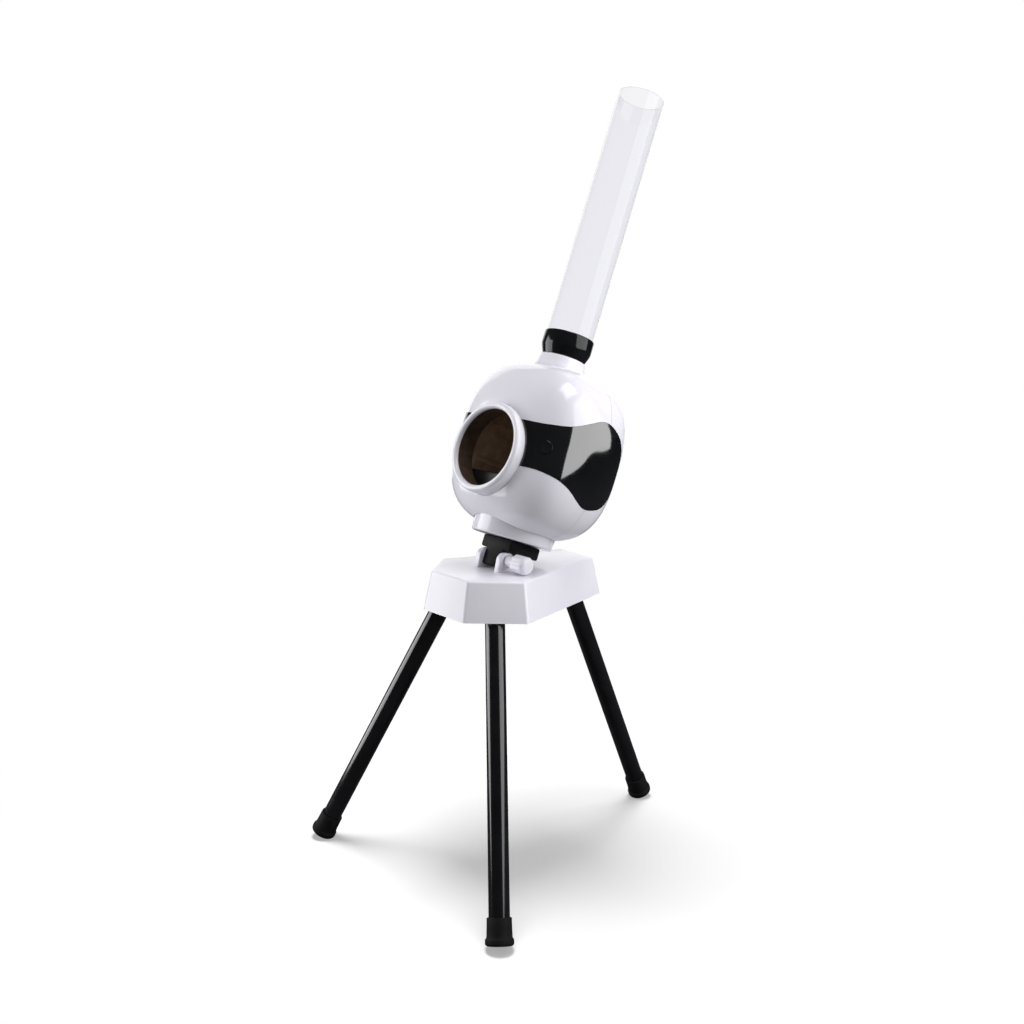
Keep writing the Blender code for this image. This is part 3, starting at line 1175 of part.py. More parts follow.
def make_electrics(head):
    pitch = 2 * CELL_R + CELL_SPACE
    first = -(CELL_COUNT - 1) / 2 * pitch
    half_l = CELL_L / 2
    pack = add_box("battery_pack", (first, CELL_Y - CELL_R * 0.5, HEAD_Z - half_l + CELL_CAP),
                   (-first, CELL_Y + CELL_R * 0.5, HEAD_Z + half_l - CELL_CAP), head)
    for i in range(CELL_COUNT):
        x = first + i * pitch
        join(pack, add_rod("cell_%d" % i, (x, CELL_Y, HEAD_Z - half_l), (x, CELL_Y, HEAD_Z + half_l),
                           CELL_R, head, True, 20))
    paint(pack, (0.02, 0.06, 0.16), 0.4)

    half_x = CELL_COUNT * pitch / 2 + 2 * GAP
    half_z = CELL_L / 2 + 2 * GAP
    front_y = CELL_Y - CELL_R - GAP
    wall = BATTERY_BOX_WALL
    box = add_box("battery_box", (-half_x - wall, front_y - wall, HEAD_Z - half_z - wall),
                  (half_x + wall, HEAD_Y + HEAD_HALF_Y, HEAD_Z + half_z + wall), head)
    room = add_box("battery_room", (-half_x, front_y, HEAD_Z - half_z),
                   (half_x, HEAD_Y + HEAD_HALF_Y + OVERRUN, HEAD_Z + half_z), head, True)
    keep_inside(box, add_bulb("box_limit", -SHELL_WALL - GAP, head, inside=True))
    cut(box, room)
    paint(box, BLACK_SATIN, 0.5, smooth=False)

    door = add_bulb("battery_door", 0.0, head, cutter=False)
    blank = add_plate("door_blank", door_outline(0.0), DOOR_CUT, head, True)
    blank.rotation_euler = FORWARD
    blank.location = (0.0, HEAD_Y + DOOR_CUT, HEAD_Z)
    keep_inside(door, blank)
    cut(door, add_bulb("door_underside", -DOOR_T, head))
    paint(door, WHITE, 0.25)

    back = CHAMBER_BACK_Y + GAP
    low = HEAD_Z - BOARD_HEIGHT / 2
    board = add_box("circuit_board", (-BOARD_HALF, back, low), (BOARD_HALF, back + BOARD_T, low + BOARD_HEIGHT),
                    head)
    for i, (x, z, width, height, depth) in enumerate(((-0.018, 0.008, 0.012, 0.012, 0.003),
                                                      (0.012, -0.006, 0.016, 0.010, 0.009),
                                                      (0.020, 0.014, 0.008, 0.008, 0.006))):
        face = back + BOARD_T
        chip = add_box("board_part_%d" % i, (x - width / 2, face - SINK, HEAD_Z + z - height / 2),
                       (x + width / 2, face + depth, HEAD_Z + z + height / 2), head, True)
        join(board, chip)
    paint(board, GREEN, 0.5, smooth=False)


def centre_on_floor(root):
    """Move the machine so that the middle of its outline stands over the origin."""
    bpy.context.view_layer.update()
    graph = bpy.context.evaluated_depsgraph_get()
    places = []
    for item in bpy.data.collections["badminton_serving_machine"].objects:
        if item.type == "MESH":
            shown = item.evaluated_get(graph)
            places += [shown.matrix_world @ Vector(corner) for corner in shown.bound_box]
    for i in (0, 1):
        low = min(place[i] for place in places)
        high = max(place[i] for place in places)
        root.location[i] = -(low + high) / 2
    bpy.context.view_layer.update()


def build():
    start_scene()
    root = add_empty("machine")
    head = add_empty("head_tilt_axis", root, (0.0, PIVOT_Y, PIVOT_Z), (-math.radians(TILT_DEG), 0.0, 0.0))
    knob_axis = add_empty("knob_axis", root, (0.0, PIVOT_Y, PIVOT_Z))
    tube_axis = add_empty("tube_axis", head, (0.0, TUBE_Y, TUBE_BOTTOM))
    striker_axis = add_empty("striker_axis", head, (0.0, STRIKER_Y, STRIKER_Z))
    pinion_axis = add_empty("pinion_axis", head, (GEAR_X, PINION_Y, PINION_Z))
    gate_axes = [add_empty("gate_axis_%s" % name, head, (side * GATE_PIN_X, GATE_PIN_Y, GATE_Z))
                 for side, name in ((1, "right"), (-1, "left"))]
    place, normal = button_place()
    button_axis = add_empty("button_axis", head, place)
    button_axis.rotation_mode = "QUATERNION"
    button_axis.rotation_quaternion = Vector((0, 0, 1)).rotation_difference(normal)

    legs = [make_leg(name, top, foot, root) for name, top, foot in leg_list()]
    make_base_cover(root)
    make_base_floor(root, legs)
    make_clamp(root, knob_axis)
    screw_places = make_bracket(head)
    make_skirt(head, screw_places)
    front = make_shells(head)
    make_visors(head, front, button_axis)
    make_button(front, button_axis, button_axis)
    make_mouth_ring(head)
    make_mouth_sleeve(head)
    make_chamber(head)
    make_hopper(head, tube_axis)
    make_gates(gate_axes)
    make_striker(striker_axis)
    make_sill(head)
    make_spring(head)
    make_gears(striker_axis, pinion_axis)
    make_gear_frame(head)
    make_motor(head)
    make_electrics(head)
    centre_on_floor(root)


build()
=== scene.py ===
# Looks for the badminton serving machine: finer shells, spun rings and tubes, materials,
# studio light and the camera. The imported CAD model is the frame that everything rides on.
import bpy
import json
import math
from mathutils import Matrix, Vector


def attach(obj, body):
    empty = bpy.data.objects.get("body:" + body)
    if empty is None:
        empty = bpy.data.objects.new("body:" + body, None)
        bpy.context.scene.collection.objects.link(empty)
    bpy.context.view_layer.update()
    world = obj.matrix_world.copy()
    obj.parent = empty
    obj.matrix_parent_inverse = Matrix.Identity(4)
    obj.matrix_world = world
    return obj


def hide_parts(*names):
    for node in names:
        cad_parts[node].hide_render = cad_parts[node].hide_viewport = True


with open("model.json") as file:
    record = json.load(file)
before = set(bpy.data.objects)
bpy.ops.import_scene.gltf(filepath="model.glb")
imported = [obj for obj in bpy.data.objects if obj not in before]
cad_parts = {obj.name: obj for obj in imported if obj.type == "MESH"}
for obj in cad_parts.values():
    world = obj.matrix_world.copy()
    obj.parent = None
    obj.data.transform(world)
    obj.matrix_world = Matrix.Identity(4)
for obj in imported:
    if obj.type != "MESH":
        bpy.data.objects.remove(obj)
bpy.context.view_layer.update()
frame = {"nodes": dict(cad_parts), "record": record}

# Sizes in metres, the same as in the CAD source
MACHINE_Y = -0.06669         # shift that centres the machine's outline over the origin
PIVOT = Vector((0.0, -0.019 + MACHINE_Y, 0.4592))
TILT_DEG = 20.85             # how far the head leans back at rest
GAP = 0.0003                 # between two pieces that touch or run in each other
ROUND = 96                   # steps round a large turned piece
FINE_ROUND = 128             # steps round the mouth ring and the hopper tube
SMALL_ROUND = 48             # steps round a leg or the button

# Head, in its own frame: origin on the tilt axis, Z along the neck
HEAD_PLACE = Matrix.Translation(PIVOT) @ Matrix.Rotation(-math.radians(TILT_DEG), 4, "X")
HEAD_MIDDLE = Vector((0.0, 0.0195, 0.1655))
HEAD_HALF = Vector((0.118, 0.093, 0.124))
HEAD_POWER = 3.0             # 2 would be an ellipsoid, more is boxier
HEAD_SEGMENTS = 128
HEAD_RINGS = 80
SHELL_WALL = 0.004
SPLIT_Y = 0.0325
PARTING = 0.0001             # each shell's edge stands back, so that the parting line shows
FAR = 0.2                    # reach of a cutter that goes right out of the head

# Visor panels: side view as (Y, Z) places on the head, clockwise from the top front
VISOR_OUTLINE = [(-0.0900, 0.1865), (-0.0620, 0.1920), (-0.0340, 0.1990), (-0.0080, 0.2115),
                 (0.0110, 0.2205), (0.0260, 0.2230), (0.0440, 0.2185), (0.0640, 0.2060),
                 (0.0790, 0.1840), (0.0830, 0.1580), (0.0790, 0.1280), (0.0640, 0.1085),
                 (0.0450, 0.1005), (0.0280, 0.0990), (0.0100, 0.1055), (-0.0080, 0.1145),
                 (-0.0300, 0.1230), (-0.0560, 0.1285), (-0.0900, 0.1330)]
VISOR_STEPS = 6              # steps of the curve between two of those places
VISOR_T = 0.0020
VISOR_PROUD = 0.0003         # how far a panel stands out of the shell
VISOR_REACH = (0.04, 0.13)   # X range of the cutters on one side

# Battery door in the rear shell
DOOR_HALF_WIDTH = 0.028
DOOR_HALF_HEIGHT = 0.02725
DOOR_CORNER_R = 0.006
DOOR_T = 0.0030
DOOR_LINE = 0.0003           # the opening stands back too, so that the door's line shows
DOOR_REACH = (0.06, 0.2)     # range of its cutters behind the head's middle

# Mouth
MOUTH_Z = 0.144
MOUTH_R = 0.056
RING_R = 0.0658
RING_CREST = 0.1037
RING_BACK = 0.072
RING_LIP = 0.0055
SLEEVE_R = 0.0595

# Hopper: neck, collar and tube stand on one axis
TUBE_Y = 0.015
TUBE_R = 0.035
TUBE_WALL = 0.0015
TUBE_BOTTOM = 0.3233
TUBE_TOP = 0.714
NECK_R = 0.038
NECK_TOP_R = 0.035
NECK_BOTTOM = 0.278
NECK_SEAM = 0.289
NECK_TOP = 0.3052
THROAT_R = 0.0315
THROAT_BORE = 0.0298
COLLAR_LOW = 0.3055
COLLAR_HIGH = 0.341
COLLAR_SEAT = 0.323
COLLAR_R = 0.0374
COLLAR_LOW_R = 0.0312

# Cup under the shells
SKIRT_LOW = 0.0308
SKIRT_HIGH = 0.0623
SKIRT_R = 0.060
SKIRT_TOP_R = 0.062
SKIRT_ROUND = 0.003
SKIRT_WALL = 0.003
SKIRT_FLOOR = 0.004

# Button: place on the head, and its section as (radius, height) from the middle of the face,
# which is dished inside a raised rim
BUTTON_AT = Vector((0.09264, -0.0551, 0.1613))
BUTTON_R = 0.009
BUTTON_REACH = 0.02          # of its cutter to both sides of the head's surface
BUTTON_SECTION = [(0.0, 0.0003), (0.002, 0.0003), (0.0045, 0.0005), (0.0062, 0.0008),
                  (0.0072, 0.0011), (0.0078, 0.0012), (0.0084, 0.0012), (0.0088, 0.0010),
                  (BUTTON_R, 0.0006), (BUTTON_R, -0.006), (0.0, -0.006)]

# Base cover, with corners as (X, Y) places of its top edge
BASE_LOW = 0.3886
BASE_TOP = 0.4449
BASE_DRAFT = 0.0107
BASE_WALL = 0.0025
BASE_EDGE_R = 0.0032
BASE_CORNERS = ((0.0404, -0.1037), (0.0901, -0.0437), (0.0354, 0.1447),
                (-0.0354, 0.1447), (-0.0901, -0.0437), (-0.0404, -0.1037))

# Ears that hold the bolt
EAR_INNER_X = 0.0174
EAR_OUTER_X = 0.0264
EAR_R = 0.0115               # round crown of the mound
EAR_FLAT = 0.0035            # length of its level top
EAR_FOOT = 0.0155            # half width of the mound where it meets the base
EAR_SINK = 0.001             # how far it goes into the base's top
EAR_EDGE_R = 0.0009
BOLT_BORE_R = 0.0033

# Clamp knob: a hub and a fluted grip
WASHER_T = 0.0012
KNOB_HUB_R = 0.009
KNOB_HUB_L = 0.015
KNOB_R = 0.0133
KNOB_GRIP_L = 0.027
KNOB_CROWN = 0.0073          # radius of the grip's rounded end
KNOB_BORE_L = 0.022
KNOB_FLUTES = 10
KNOB_FLUTE_DEPTH = 0.0008
KNOB_FLUTE_END = 0.006       # length over which the flutes run out at the end
KNOB_STEPS = 120

# Legs: name, top and foot of each leg's axis
LEG_AXES = (("right", Vector((0.0571, -0.0679, BASE_LOW)), Vector((0.2111, -0.1829, 0.0))),
            ("left", Vector((-0.0571, -0.0679, BASE_LOW)), Vector((-0.2111, -0.1829, 0.0))),
            ("rear", Vector((0.0, 0.1326, BASE_LOW)), Vector((0.0, 0.3195, 0.0))))
LEG_R = 0.014
LEG_WALL = 0.0012
LEG_IN_SOCKET = 0.034
FOOT_R = 0.019
FOOT_ROUND = 0.0035
FOOT_WORN = 0.0008           # how far the foot's lowest edge is cut flat on the floor
FOOT_SOLE = 0.006
FOOT_H = 0.035
FOOT_GROUND = 0.05           # half side of the cutter that flattens it

# Studio: the floor and the air are pale to the camera but throw less light on the machine
FLOOR_SIZE = 12.0            # radius
FLOOR_SEEN = 0.14            # paint of the floor as the camera sees it
FLOOR_BOUNCE = 0.075         # as the machine's dull surfaces see it
FLOOR_MIRRORED = 0.01        # as glossy surfaces mirror it
FLOOR_LIFT = 0.36            # glow for the camera alone, which keeps the shadow pale
FLOOR_FADE = (0.5, 0.85)     # distances between which the floor turns to plain white
AIR = 0.18                   # light from all round
AIR_MIRRORED = 0.03

# The photograph's view, solved from the machine's own corners
CAMERA_AT = (1.241, -1.103 + MACHINE_Y, 0.842)
CAMERA_AZIMUTH_DEG = 48.1
CAMERA_PITCH_DEG = 10.83
CAMERA_ROLL_DEG = 1.3
PHOTO_PX = 1024
FOCAL_PX = 1174.5
SENSOR_MM = 36.0


# Colour and material helpers

def colour(code):
    """Linear colour from a written sRGB hex value."""
    values = [int(code[i:i + 2], 16) / 255 for i in (1, 3, 5)]
    return (*[v / 12.92 if v <= 0.04045 else ((v + 0.055) / 1.055) ** 2.4 for v in values], 1.0)


def add_node(tree, kind, settings=None, links=None):
    """Adds a node, sets its properties and inputs, and links outputs of other nodes into it."""
    node = tree.nodes.new(kind)
    for name, value in (settings or {}).items():
        if name in node.inputs:
            node.inputs[name].default_value = value
        else:
            setattr(node, name, value)
    for name, source in (links or {}).items():
        tree.links.new(source, node.inputs[name])
    return node


def new_material(name):
    """Material with its node tree, its shader and the object's own coordinates."""
    material = bpy.data.materials.new(name)
    material.use_nodes = True
    tree = material.node_tree
    shader = tree.nodes["Principled BSDF"]
    place = add_node(tree, "ShaderNodeTexCoord").outputs["Object"]
    return material, tree, shader, place


def moulded(name, light, dark, roughness, grain_mm, grain_depth_mm, patch_mm=60.0, spread=0.06,
            coat=0.0, specular=0.5, ior=1.5):
    """Moulded plastic or rubber: slow drift of colour and gloss, with a fine moulded grain."""
    material, tree, shader, place = new_material(name)
    drift = add_node(tree, "ShaderNodeTexNoise", {"Scale": 1000.0 / patch_mm, "Detail": 3.0},
                     {"Vector": place})
    grain = add_node(tree, "ShaderNodeTexNoise", {"Scale": 1000.0 / grain_mm, "Detail": 2.0},
                     {"Vector": place})
    tone = add_node(tree, "ShaderNodeValToRGB", None, {"Fac": drift.outputs["Fac"]})
    tone.color_ramp.elements[0].position = 0.35
    tone.color_ramp.elements[0].color = colour(dark)
    tone.color_ramp.elements[1].position = 0.65
    tone.color_ramp.elements[1].color = colour(light)
    gloss = add_node(tree, "ShaderNodeMapRange",
                     {"From Min": 0.3, "From Max": 0.7,
                      "To Min": roughness - spread, "To Max": roughness + spread},
                     {"Value": drift.outputs["Fac"]})
    bump = add_node(tree, "ShaderNodeBump",
                    {"Strength": 0.35, "Distance": grain_depth_mm / 1000.0},
                    {"Height": grain.outputs["Fac"]})
    tree.links.new(tone.outputs["Color"], shader.inputs["Base Color"])
    tree.links.new(gloss.outputs["Result"], shader.inputs["Roughness"])
    tree.links.new(bump.outputs["Normal"], shader.inputs["Normal"])
    shader.inputs["Coat Weight"].default_value = coat
    shader.inputs["Coat Roughness"].default_value = 0.05
    shader.inputs["Specular IOR Level"].default_value = specular
    shader.inputs["IOR"].default_value = ior
    return material


# Glossy ABS moulding: white with a faint cool drift, and an orange peel too fine to count
WHITE_ABS = moulded("white_gloss_abs", "#F2F0F8", "#EDEBF5", roughness=0.13, grain_mm=1.6,
                    grain_depth_mm=0.004, patch_mm=90.0, spread=0.02)
# Polished black ABS panel: near black, mirror gloss, a slow wave from the mould
BLACK_ABS = moulded("black_polished_abs", "#16171A", "#111215", roughness=0.07, grain_mm=9.0,
                    grain_depth_mm=0.006, patch_mm=50.0, spread=0.02, specular=1.0, ior=1.65)
# The same black on the tube's collar, straight from the mould and not polished
BLACK_COLLAR = moulded("black_moulded_abs", "#17181B", "#121316", roughness=0.11, grain_mm=2.0,
                       grain_depth_mm=0.008, patch_mm=30.0, spread=0.03, specular=0.35)
# Satin black nylon of the bracket: a fine spark-eroded grain
BLACK_SATIN = moulded("black_satin_nylon", "#1A1A1C", "#141416", roughness=0.48, grain_mm=0.5,
                      grain_depth_mm=0.030, patch_mm=20.0, specular=0.08)
# Black enamel on steel tube: wet gloss with a soft orange peel
BLACK_ENAMEL = moulded("black_stove_enamel", "#17171A", "#111114", roughness=0.14, grain_mm=3.0,
                       grain_depth_mm=0.012, patch_mm=40.0, spread=0.03, coat=0.3)
# Moulded rubber: matt, with a dusty bloom
FOOT_RUBBER = moulded("black_moulded_rubber", "#171719", "#111113", roughness=0.68, grain_mm=0.6,
                      grain_depth_mm=0.050, patch_mm=12.0, spread=0.08, specular=0.15)
# Brown polypropylene of the chamber: dull, with flow marks
BROWN_PP = moulded("brown_polypropylene", "#B79F88", "#9C846E", roughness=0.46, grain_mm=2.0,
                   grain_depth_mm=0.030, patch_mm=25.0, spread=0.08, specular=0.3)
# The same plastic on the sleeve in the mouth, painted darker to stand for the shade inside the
# mouth
BROWN_SLEEVE_PAINTED_SHADE = moulded("brown_polypropylene_painted_shade", "#5C4B3F", "#483A31", roughness=0.50,
                       grain_mm=2.0, grain_depth_mm=0.030, patch_mm=12.0, spread=0.08,
                       specular=0.25)
# Grey acetal of the flap and the mouth's sill: smooth and slightly waxy
GREY_ACETAL = moulded("grey_acetal", "#2B292D", "#201E22", roughness=0.36, grain_mm=1.0,
                      grain_depth_mm=0.010, patch_mm=18.0, spread=0.05, specular=0.3)
# Natural nylon of gears and gates: creamy, with soft mottling
NATURAL_NYLON = moulded("natural_nylon", "#ECE8DC", "#DFDACB", roughness=0.45, grain_mm=1.2,
                        grain_depth_mm=0.020, patch_mm=10.0, specular=0.4)
# Green solder mask over a glass fibre board
SOLDER_MASK = moulded("green_solder_mask", "#2F7A4B", "#235F3A", roughness=0.32, grain_mm=0.8,
                      grain_depth_mm=0.010, patch_mm=8.0)
# Shrink film drawn tight round the cells
SHRINK_FILM = moulded("blue_shrink_film", "#2C4E86", "#233F6E", roughness=0.30, grain_mm=4.0,
                      grain_depth_mm=0.030, patch_mm=14.0, spread=0.08)


def zinc_steel():
    """Zinc-plated steel: bright, with a slightly mottled gloss from the plating."""
    material, tree, shader, place = new_material("zinc_plated_steel")
    mottle = add_node(tree, "ShaderNodeTexNoise", {"Scale": 250.0, "Detail": 4.0},
                      {"Vector": place})
    gloss = add_node(tree, "ShaderNodeMapRange", {"To Min": 0.22, "To Max": 0.42},
                     {"Value": mottle.outputs["Fac"]})
    tone = add_node(tree, "ShaderNodeValToRGB", None, {"Fac": mottle.outputs["Fac"]})
    tone.color_ramp.elements[0].color = colour("#A9ABAE")
    tone.color_ramp.elements[1].color = colour("#C9CBCE")
    tree.links.new(tone.outputs["Color"], shader.inputs["Base Color"])
    tree.links.new(gloss.outputs["Result"], shader.inputs["Roughness"])
    shader.inputs["Metallic"].default_value = 1.0
    return material


def clear_polycarbonate():
    """Extruded polycarbonate tube: clear, with faint draw lines along its length."""
    material, tree, shader, place = new_material("clear_polycarbonate")
    turned = add_node(tree, "ShaderNodeMapping",
                      {"Rotation": (math.radians(TILT_DEG), 0.0, 0.0),
                       "Scale": (400.0, 400.0, 6.0)}, {"Vector": place})
    lines = add_node(tree, "ShaderNodeTexNoise", {"Scale": 1.0, "Detail": 2.0},
                     {"Vector": turned.outputs["Vector"]})
    bump = add_node(tree, "ShaderNodeBump", {"Strength": 0.15, "Distance": 0.00003},
                    {"Height": lines.outputs["Fac"]})
    tree.links.new(bump.outputs["Normal"], shader.inputs["Normal"])
    shader.inputs["Base Color"].default_value = colour("#F5F5F8")
    shader.inputs["Roughness"].default_value = 0.03
    shader.inputs["IOR"].default_value = 1.28
    shader.inputs["Transmission Weight"].default_value = 1.0
    return material


STEEL = zinc_steel()
CLEAR = clear_polycarbonate()


# Modelling helpers

def active(item):
    """Makes this the one selected and active object."""
    if bpy.context.object and bpy.context.object.mode == "EDIT":
        bpy.ops.object.mode_set(mode="OBJECT")
    bpy.ops.object.select_all(action="DESELECT")
    bpy.context.view_layer.objects.active = item
    item.select_set(True)
    return item


def new_object(name, mesh):
    item = bpy.data.objects.new(name, mesh)
    bpy.context.collection.objects.link(item)
    return item


def edit_all(item):
    """Opens the piece for editing with all of it selected."""
    active(item)
    bpy.ops.object.mode_set(mode="EDIT")
    bpy.ops.mesh.select_all(action="SELECT")


def spun(name, profile, place, steps=ROUND, closed=True):
    """Piece turned round its own Z from (radius, height) points, then put in its place."""
    mesh = bpy.data.meshes.new(name)
    edges = [(i, i + 1) for i in range(len(profile) - 1)]
    if closed:
        edges.append((len(profile) - 1, 0))
    mesh.from_pydata([(radius, 0.0, height) for radius, height in profile], edges, [])
    item = new_object(name, mesh)
    edit_all(item)
    bpy.ops.mesh.spin(steps=steps, angle=math.tau, center=(0, 0, 0), axis=(0, 0, 1))
    bpy.ops.mesh.select_all(action="SELECT")
    bpy.ops.mesh.remove_doubles(threshold=0.000005)
    bpy.ops.mesh.normals_make_consistent(inside=False)
    bpy.ops.object.mode_set(mode="OBJECT")
    mesh.transform(place)
    return item


def apply_all(item):
    active(item)
    for modifier in list(item.modifiers):
        bpy.ops.object.modifier_apply(modifier=modifier.name)
    return item


def carve(item, cutter, operation="DIFFERENCE", keep=False):
    step = item.modifiers.new("carve", "BOOLEAN")
    step.operation = operation
    step.solver = "EXACT"
    step.object = cutter
    apply_all(item)
    if not keep:
        bpy.data.objects.remove(cutter, do_unlink=True)
    return item


def rod(name, start, end, radius, steps=ROUND):
    """Cutter: a plain rod between two points."""
    start, end = Vector(start), Vector(end)
    turn = Vector((0, 0, 1)).rotation_difference(end - start).to_euler()
    bpy.ops.mesh.primitive_cylinder_add(vertices=steps, radius=radius, depth=(end - start).length,
                                        location=(start + end) / 2, rotation=turn)
    item = bpy.context.object
    item.name = name
    bpy.ops.object.transform_apply(location=True, rotation=True, scale=True)
    return item


def block(name, low, high):
    """Cutter: a plain block between two corners."""
    low, high = Vector(low), Vector(high)
    bpy.ops.mesh.primitive_cube_add(size=1.0, location=(low + high) / 2)
    item = bpy.context.object
    item.name = name
    item.scale = high - low
    bpy.ops.object.transform_apply(location=True, rotation=True, scale=True)
    return item


def prism(name, outline, low_x, high_x):
    """Outline of (Y, Z) points extruded along X."""
    bpy.ops.mesh.primitive_circle_add(vertices=len(outline), radius=1.0, fill_type="NGON")
    item = bpy.context.object
    item.name = name
    for vert, (y, z) in zip(item.data.vertices, outline):
        vert.co = (low_x, y, z)
    edit_all(item)
    bpy.ops.mesh.extrude_region_move(TRANSFORM_OT_translate={"value": (high_x - low_x, 0, 0)})
    bpy.ops.mesh.select_all(action="SELECT")
    bpy.ops.mesh.normals_make_consistent(inside=False)
    bpy.ops.object.mode_set(mode="OBJECT")
    return item


def merged_copy(node, name):
    """Own copy of a CAD node with its loose triangles joined, for smooth shading and bevels."""
    item = new_object(name, frame["nodes"][node].data.copy())
    edit_all(item)
    bpy.ops.mesh.remove_doubles(threshold=0.000002)
    bpy.ops.mesh.dissolve_limited(angle_limit=math.radians(0.5))
    bpy.ops.object.mode_set(mode="OBJECT")
    return item


def soften(item, width, segments=2, angle=40.0):
    """Rounds every edge that turns by more than the angle, in degrees."""
    step = item.modifiers.new("soft_edges", "BEVEL")
    step.width = width
    step.segments = segments
    step.limit_method = "ANGLE"
    step.angle_limit = math.radians(angle)
    step.harden_normals = False
    return apply_all(item)


def finish_piece(item, material, body, nodes=(), angle=35.0):
    """Smooths, paints and mounts a piece, and hides the CAD nodes that it stands for."""
    active(item)
    bpy.ops.object.shade_smooth_by_angle(angle=math.radians(angle))
    item.data.materials.clear()
    item.data.materials.append(material)
    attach(item, body)
    if nodes:
        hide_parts(*nodes)
    return item


# Outlines

def arc(centre, radius, start_deg, end_deg, steps):
    points = []
    for i in range(steps + 1):
        angle = math.radians(start_deg + (end_deg - start_deg) * i / steps)
        points.append((centre[0] + radius * math.cos(angle), centre[1] + radius * math.sin(angle)))
    return points


def smooth_loop(corners, steps):
    """Closed smooth curve through the given points."""
    count = len(corners)
    points = []
    for i in range(count):
        a, b, c, d = (Vector(corners[(i + k) % count]) for k in (-1, 0, 1, 2))
        for j in range(steps):
            t = j / steps
            points.append(0.5 * ((2 * b) + (c - a) * t + (2 * a - 5 * b + 4 * c - d) * t * t
                                 + (3 * b - a - 3 * c + d) * t * t * t))
    return [(p.x, p.y) for p in points]


def widened(outline, offset):
    """Outline moved out by offset, for the recess round a panel."""
    count = len(outline)
    wide = []
    for i in range(count):
        before = (Vector(outline[i]) - Vector(outline[i - 1])).normalized()
        after = (Vector(outline[(i + 1) % count]) - Vector(outline[i])).normalized()
        tangent = (before + after).normalized()
        wide.append((outline[i][0] - tangent.y * offset, outline[i][1] + tangent.x * offset))
    return wide


def rounded_box(half_width, half_height, radius):
    x, y = half_width - radius, half_height - radius
    return (arc((x, y), radius, 0, 90, 8) + arc((-x, y), radius, 90, 180, 8)
            + arc((-x, -y), radius, 180, 270, 8) + arc((x, -y), radius, 270, 360, 8))


def mitred(corners, offset):
    """Corners of a closed outline of straight sides, moved out by offset."""
    corners = [Vector(c) for c in corners]
    count = len(corners)
    moved = []
    for i, corner in enumerate(corners):
        before = (corner - corners[i - 1]).normalized()
        after = (corners[(i + 1) % count] - corner).normalized()
        side = Vector((after.y, -after.x))
        mitre = (Vector((before.y, -before.x)) + side).normalized()
        moved.append(corner + mitre * offset / mitre.dot(side))
    return moved


# Head

def head_form(name, grow):
    """The head's rounded form, grown or shrunk evenly, in the head's own frame."""
    bpy.ops.mesh.primitive_uv_sphere_add(segments=HEAD_SEGMENTS, ring_count=HEAD_RINGS, radius=1.0)
    item = bpy.context.object
    item.name = name
    half = HEAD_HALF + Vector((grow, grow, grow))
    for vert in item.data.vertices:
        ray = vert.co.normalized()
        total = sum(abs(ray[i] / half[i]) ** HEAD_POWER for i in range(3))
        vert.co = ray * total ** (-1.0 / HEAD_POWER) + HEAD_MIDDLE
    return item


def button_normal():
    """Direction that the head's surface faces under the button."""
    off = BUTTON_AT - HEAD_MIDDLE
    slope = Vector([math.copysign(abs(off[i]) ** (HEAD_POWER - 1) / HEAD_HALF[i] ** HEAD_POWER,
                                  off[i]) for i in range(3)])
    return slope.normalized()


def button_cutter():
    reach = button_normal() * BUTTON_REACH
    return rod("button_hole", BUTTON_AT - reach, BUTTON_AT + reach, BUTTON_R + GAP, SMALL_ROUND)


def mouth_cutter(name, radius):
    return rod(name, (0, HEAD_MIDDLE.y, MOUTH_Z), (0, -FAR, MOUTH_Z), radius)


def visor_cutter(name, outline, side):
    low, high = sorted(side * x for x in VISOR_REACH)
    return prism(name, outline, low, high)


def door_cutter(name, grow):
    """Cutter with the door's outline, grown evenly, that runs out through the rear shell."""
    outline = rounded_box(DOOR_HALF_WIDTH + grow, DOOR_HALF_HEIGHT + grow, DOOR_CORNER_R)
    item = prism(name, outline, *DOOR_REACH)
    item.data.transform(Matrix.Rotation(math.radians(90), 4, "Z"))
    item.data.transform(Matrix.Translation(HEAD_MIDDLE))
    return item


def make_shells(visor_loop):
    whole = head_form("head_shells", 0.0)
    # The wall is thinner by a gap, so that the feed gates swing clear of it
    carve(whole, head_form("inside", GAP - SHELL_WALL))
    carve(whole, rod("skirt_hole", (0, HEAD_MIDDLE.y, 0), HEAD_MIDDLE, SKIRT_TOP_R + GAP))
    carve(whole, rod("neck_hole", (0, TUBE_Y, HEAD_MIDDLE.z), (0, TUBE_Y, 2 * FAR), NECK_R + GAP))
    recess_floor = head_form("recess_floor", -VISOR_T - GAP)
    for side in (1, -1):
        recess = visor_cutter("recess", widened(visor_loop, GAP), side)
        carve(recess, recess_floor, keep=True)
        carve(whole, recess)
    bpy.data.objects.remove(recess_floor, do_unlink=True)
    carve(whole, mouth_cutter("mouth_hole", RING_R + GAP))
    carve(whole, button_cutter())

    front = new_object("head_front", whole.data.copy())
    carve(front, block("behind", (-FAR, SPLIT_Y - PARTING, -FAR), (FAR, FAR, 3 * FAR)))
    rear = whole
    rear.name = "head_rear"
    carve(rear, block("ahead", (-FAR, -FAR, -FAR), (FAR, SPLIT_Y + GAP + PARTING, 3 * FAR)))
    carve(rear, door_cutter("door_cut", GAP + DOOR_LINE))
    for item, node in ((front, "front_shell"), (rear, "rear_shell")):
        item.data.transform(HEAD_PLACE)
        finish_piece(item, WHITE_ABS, "head", [node])


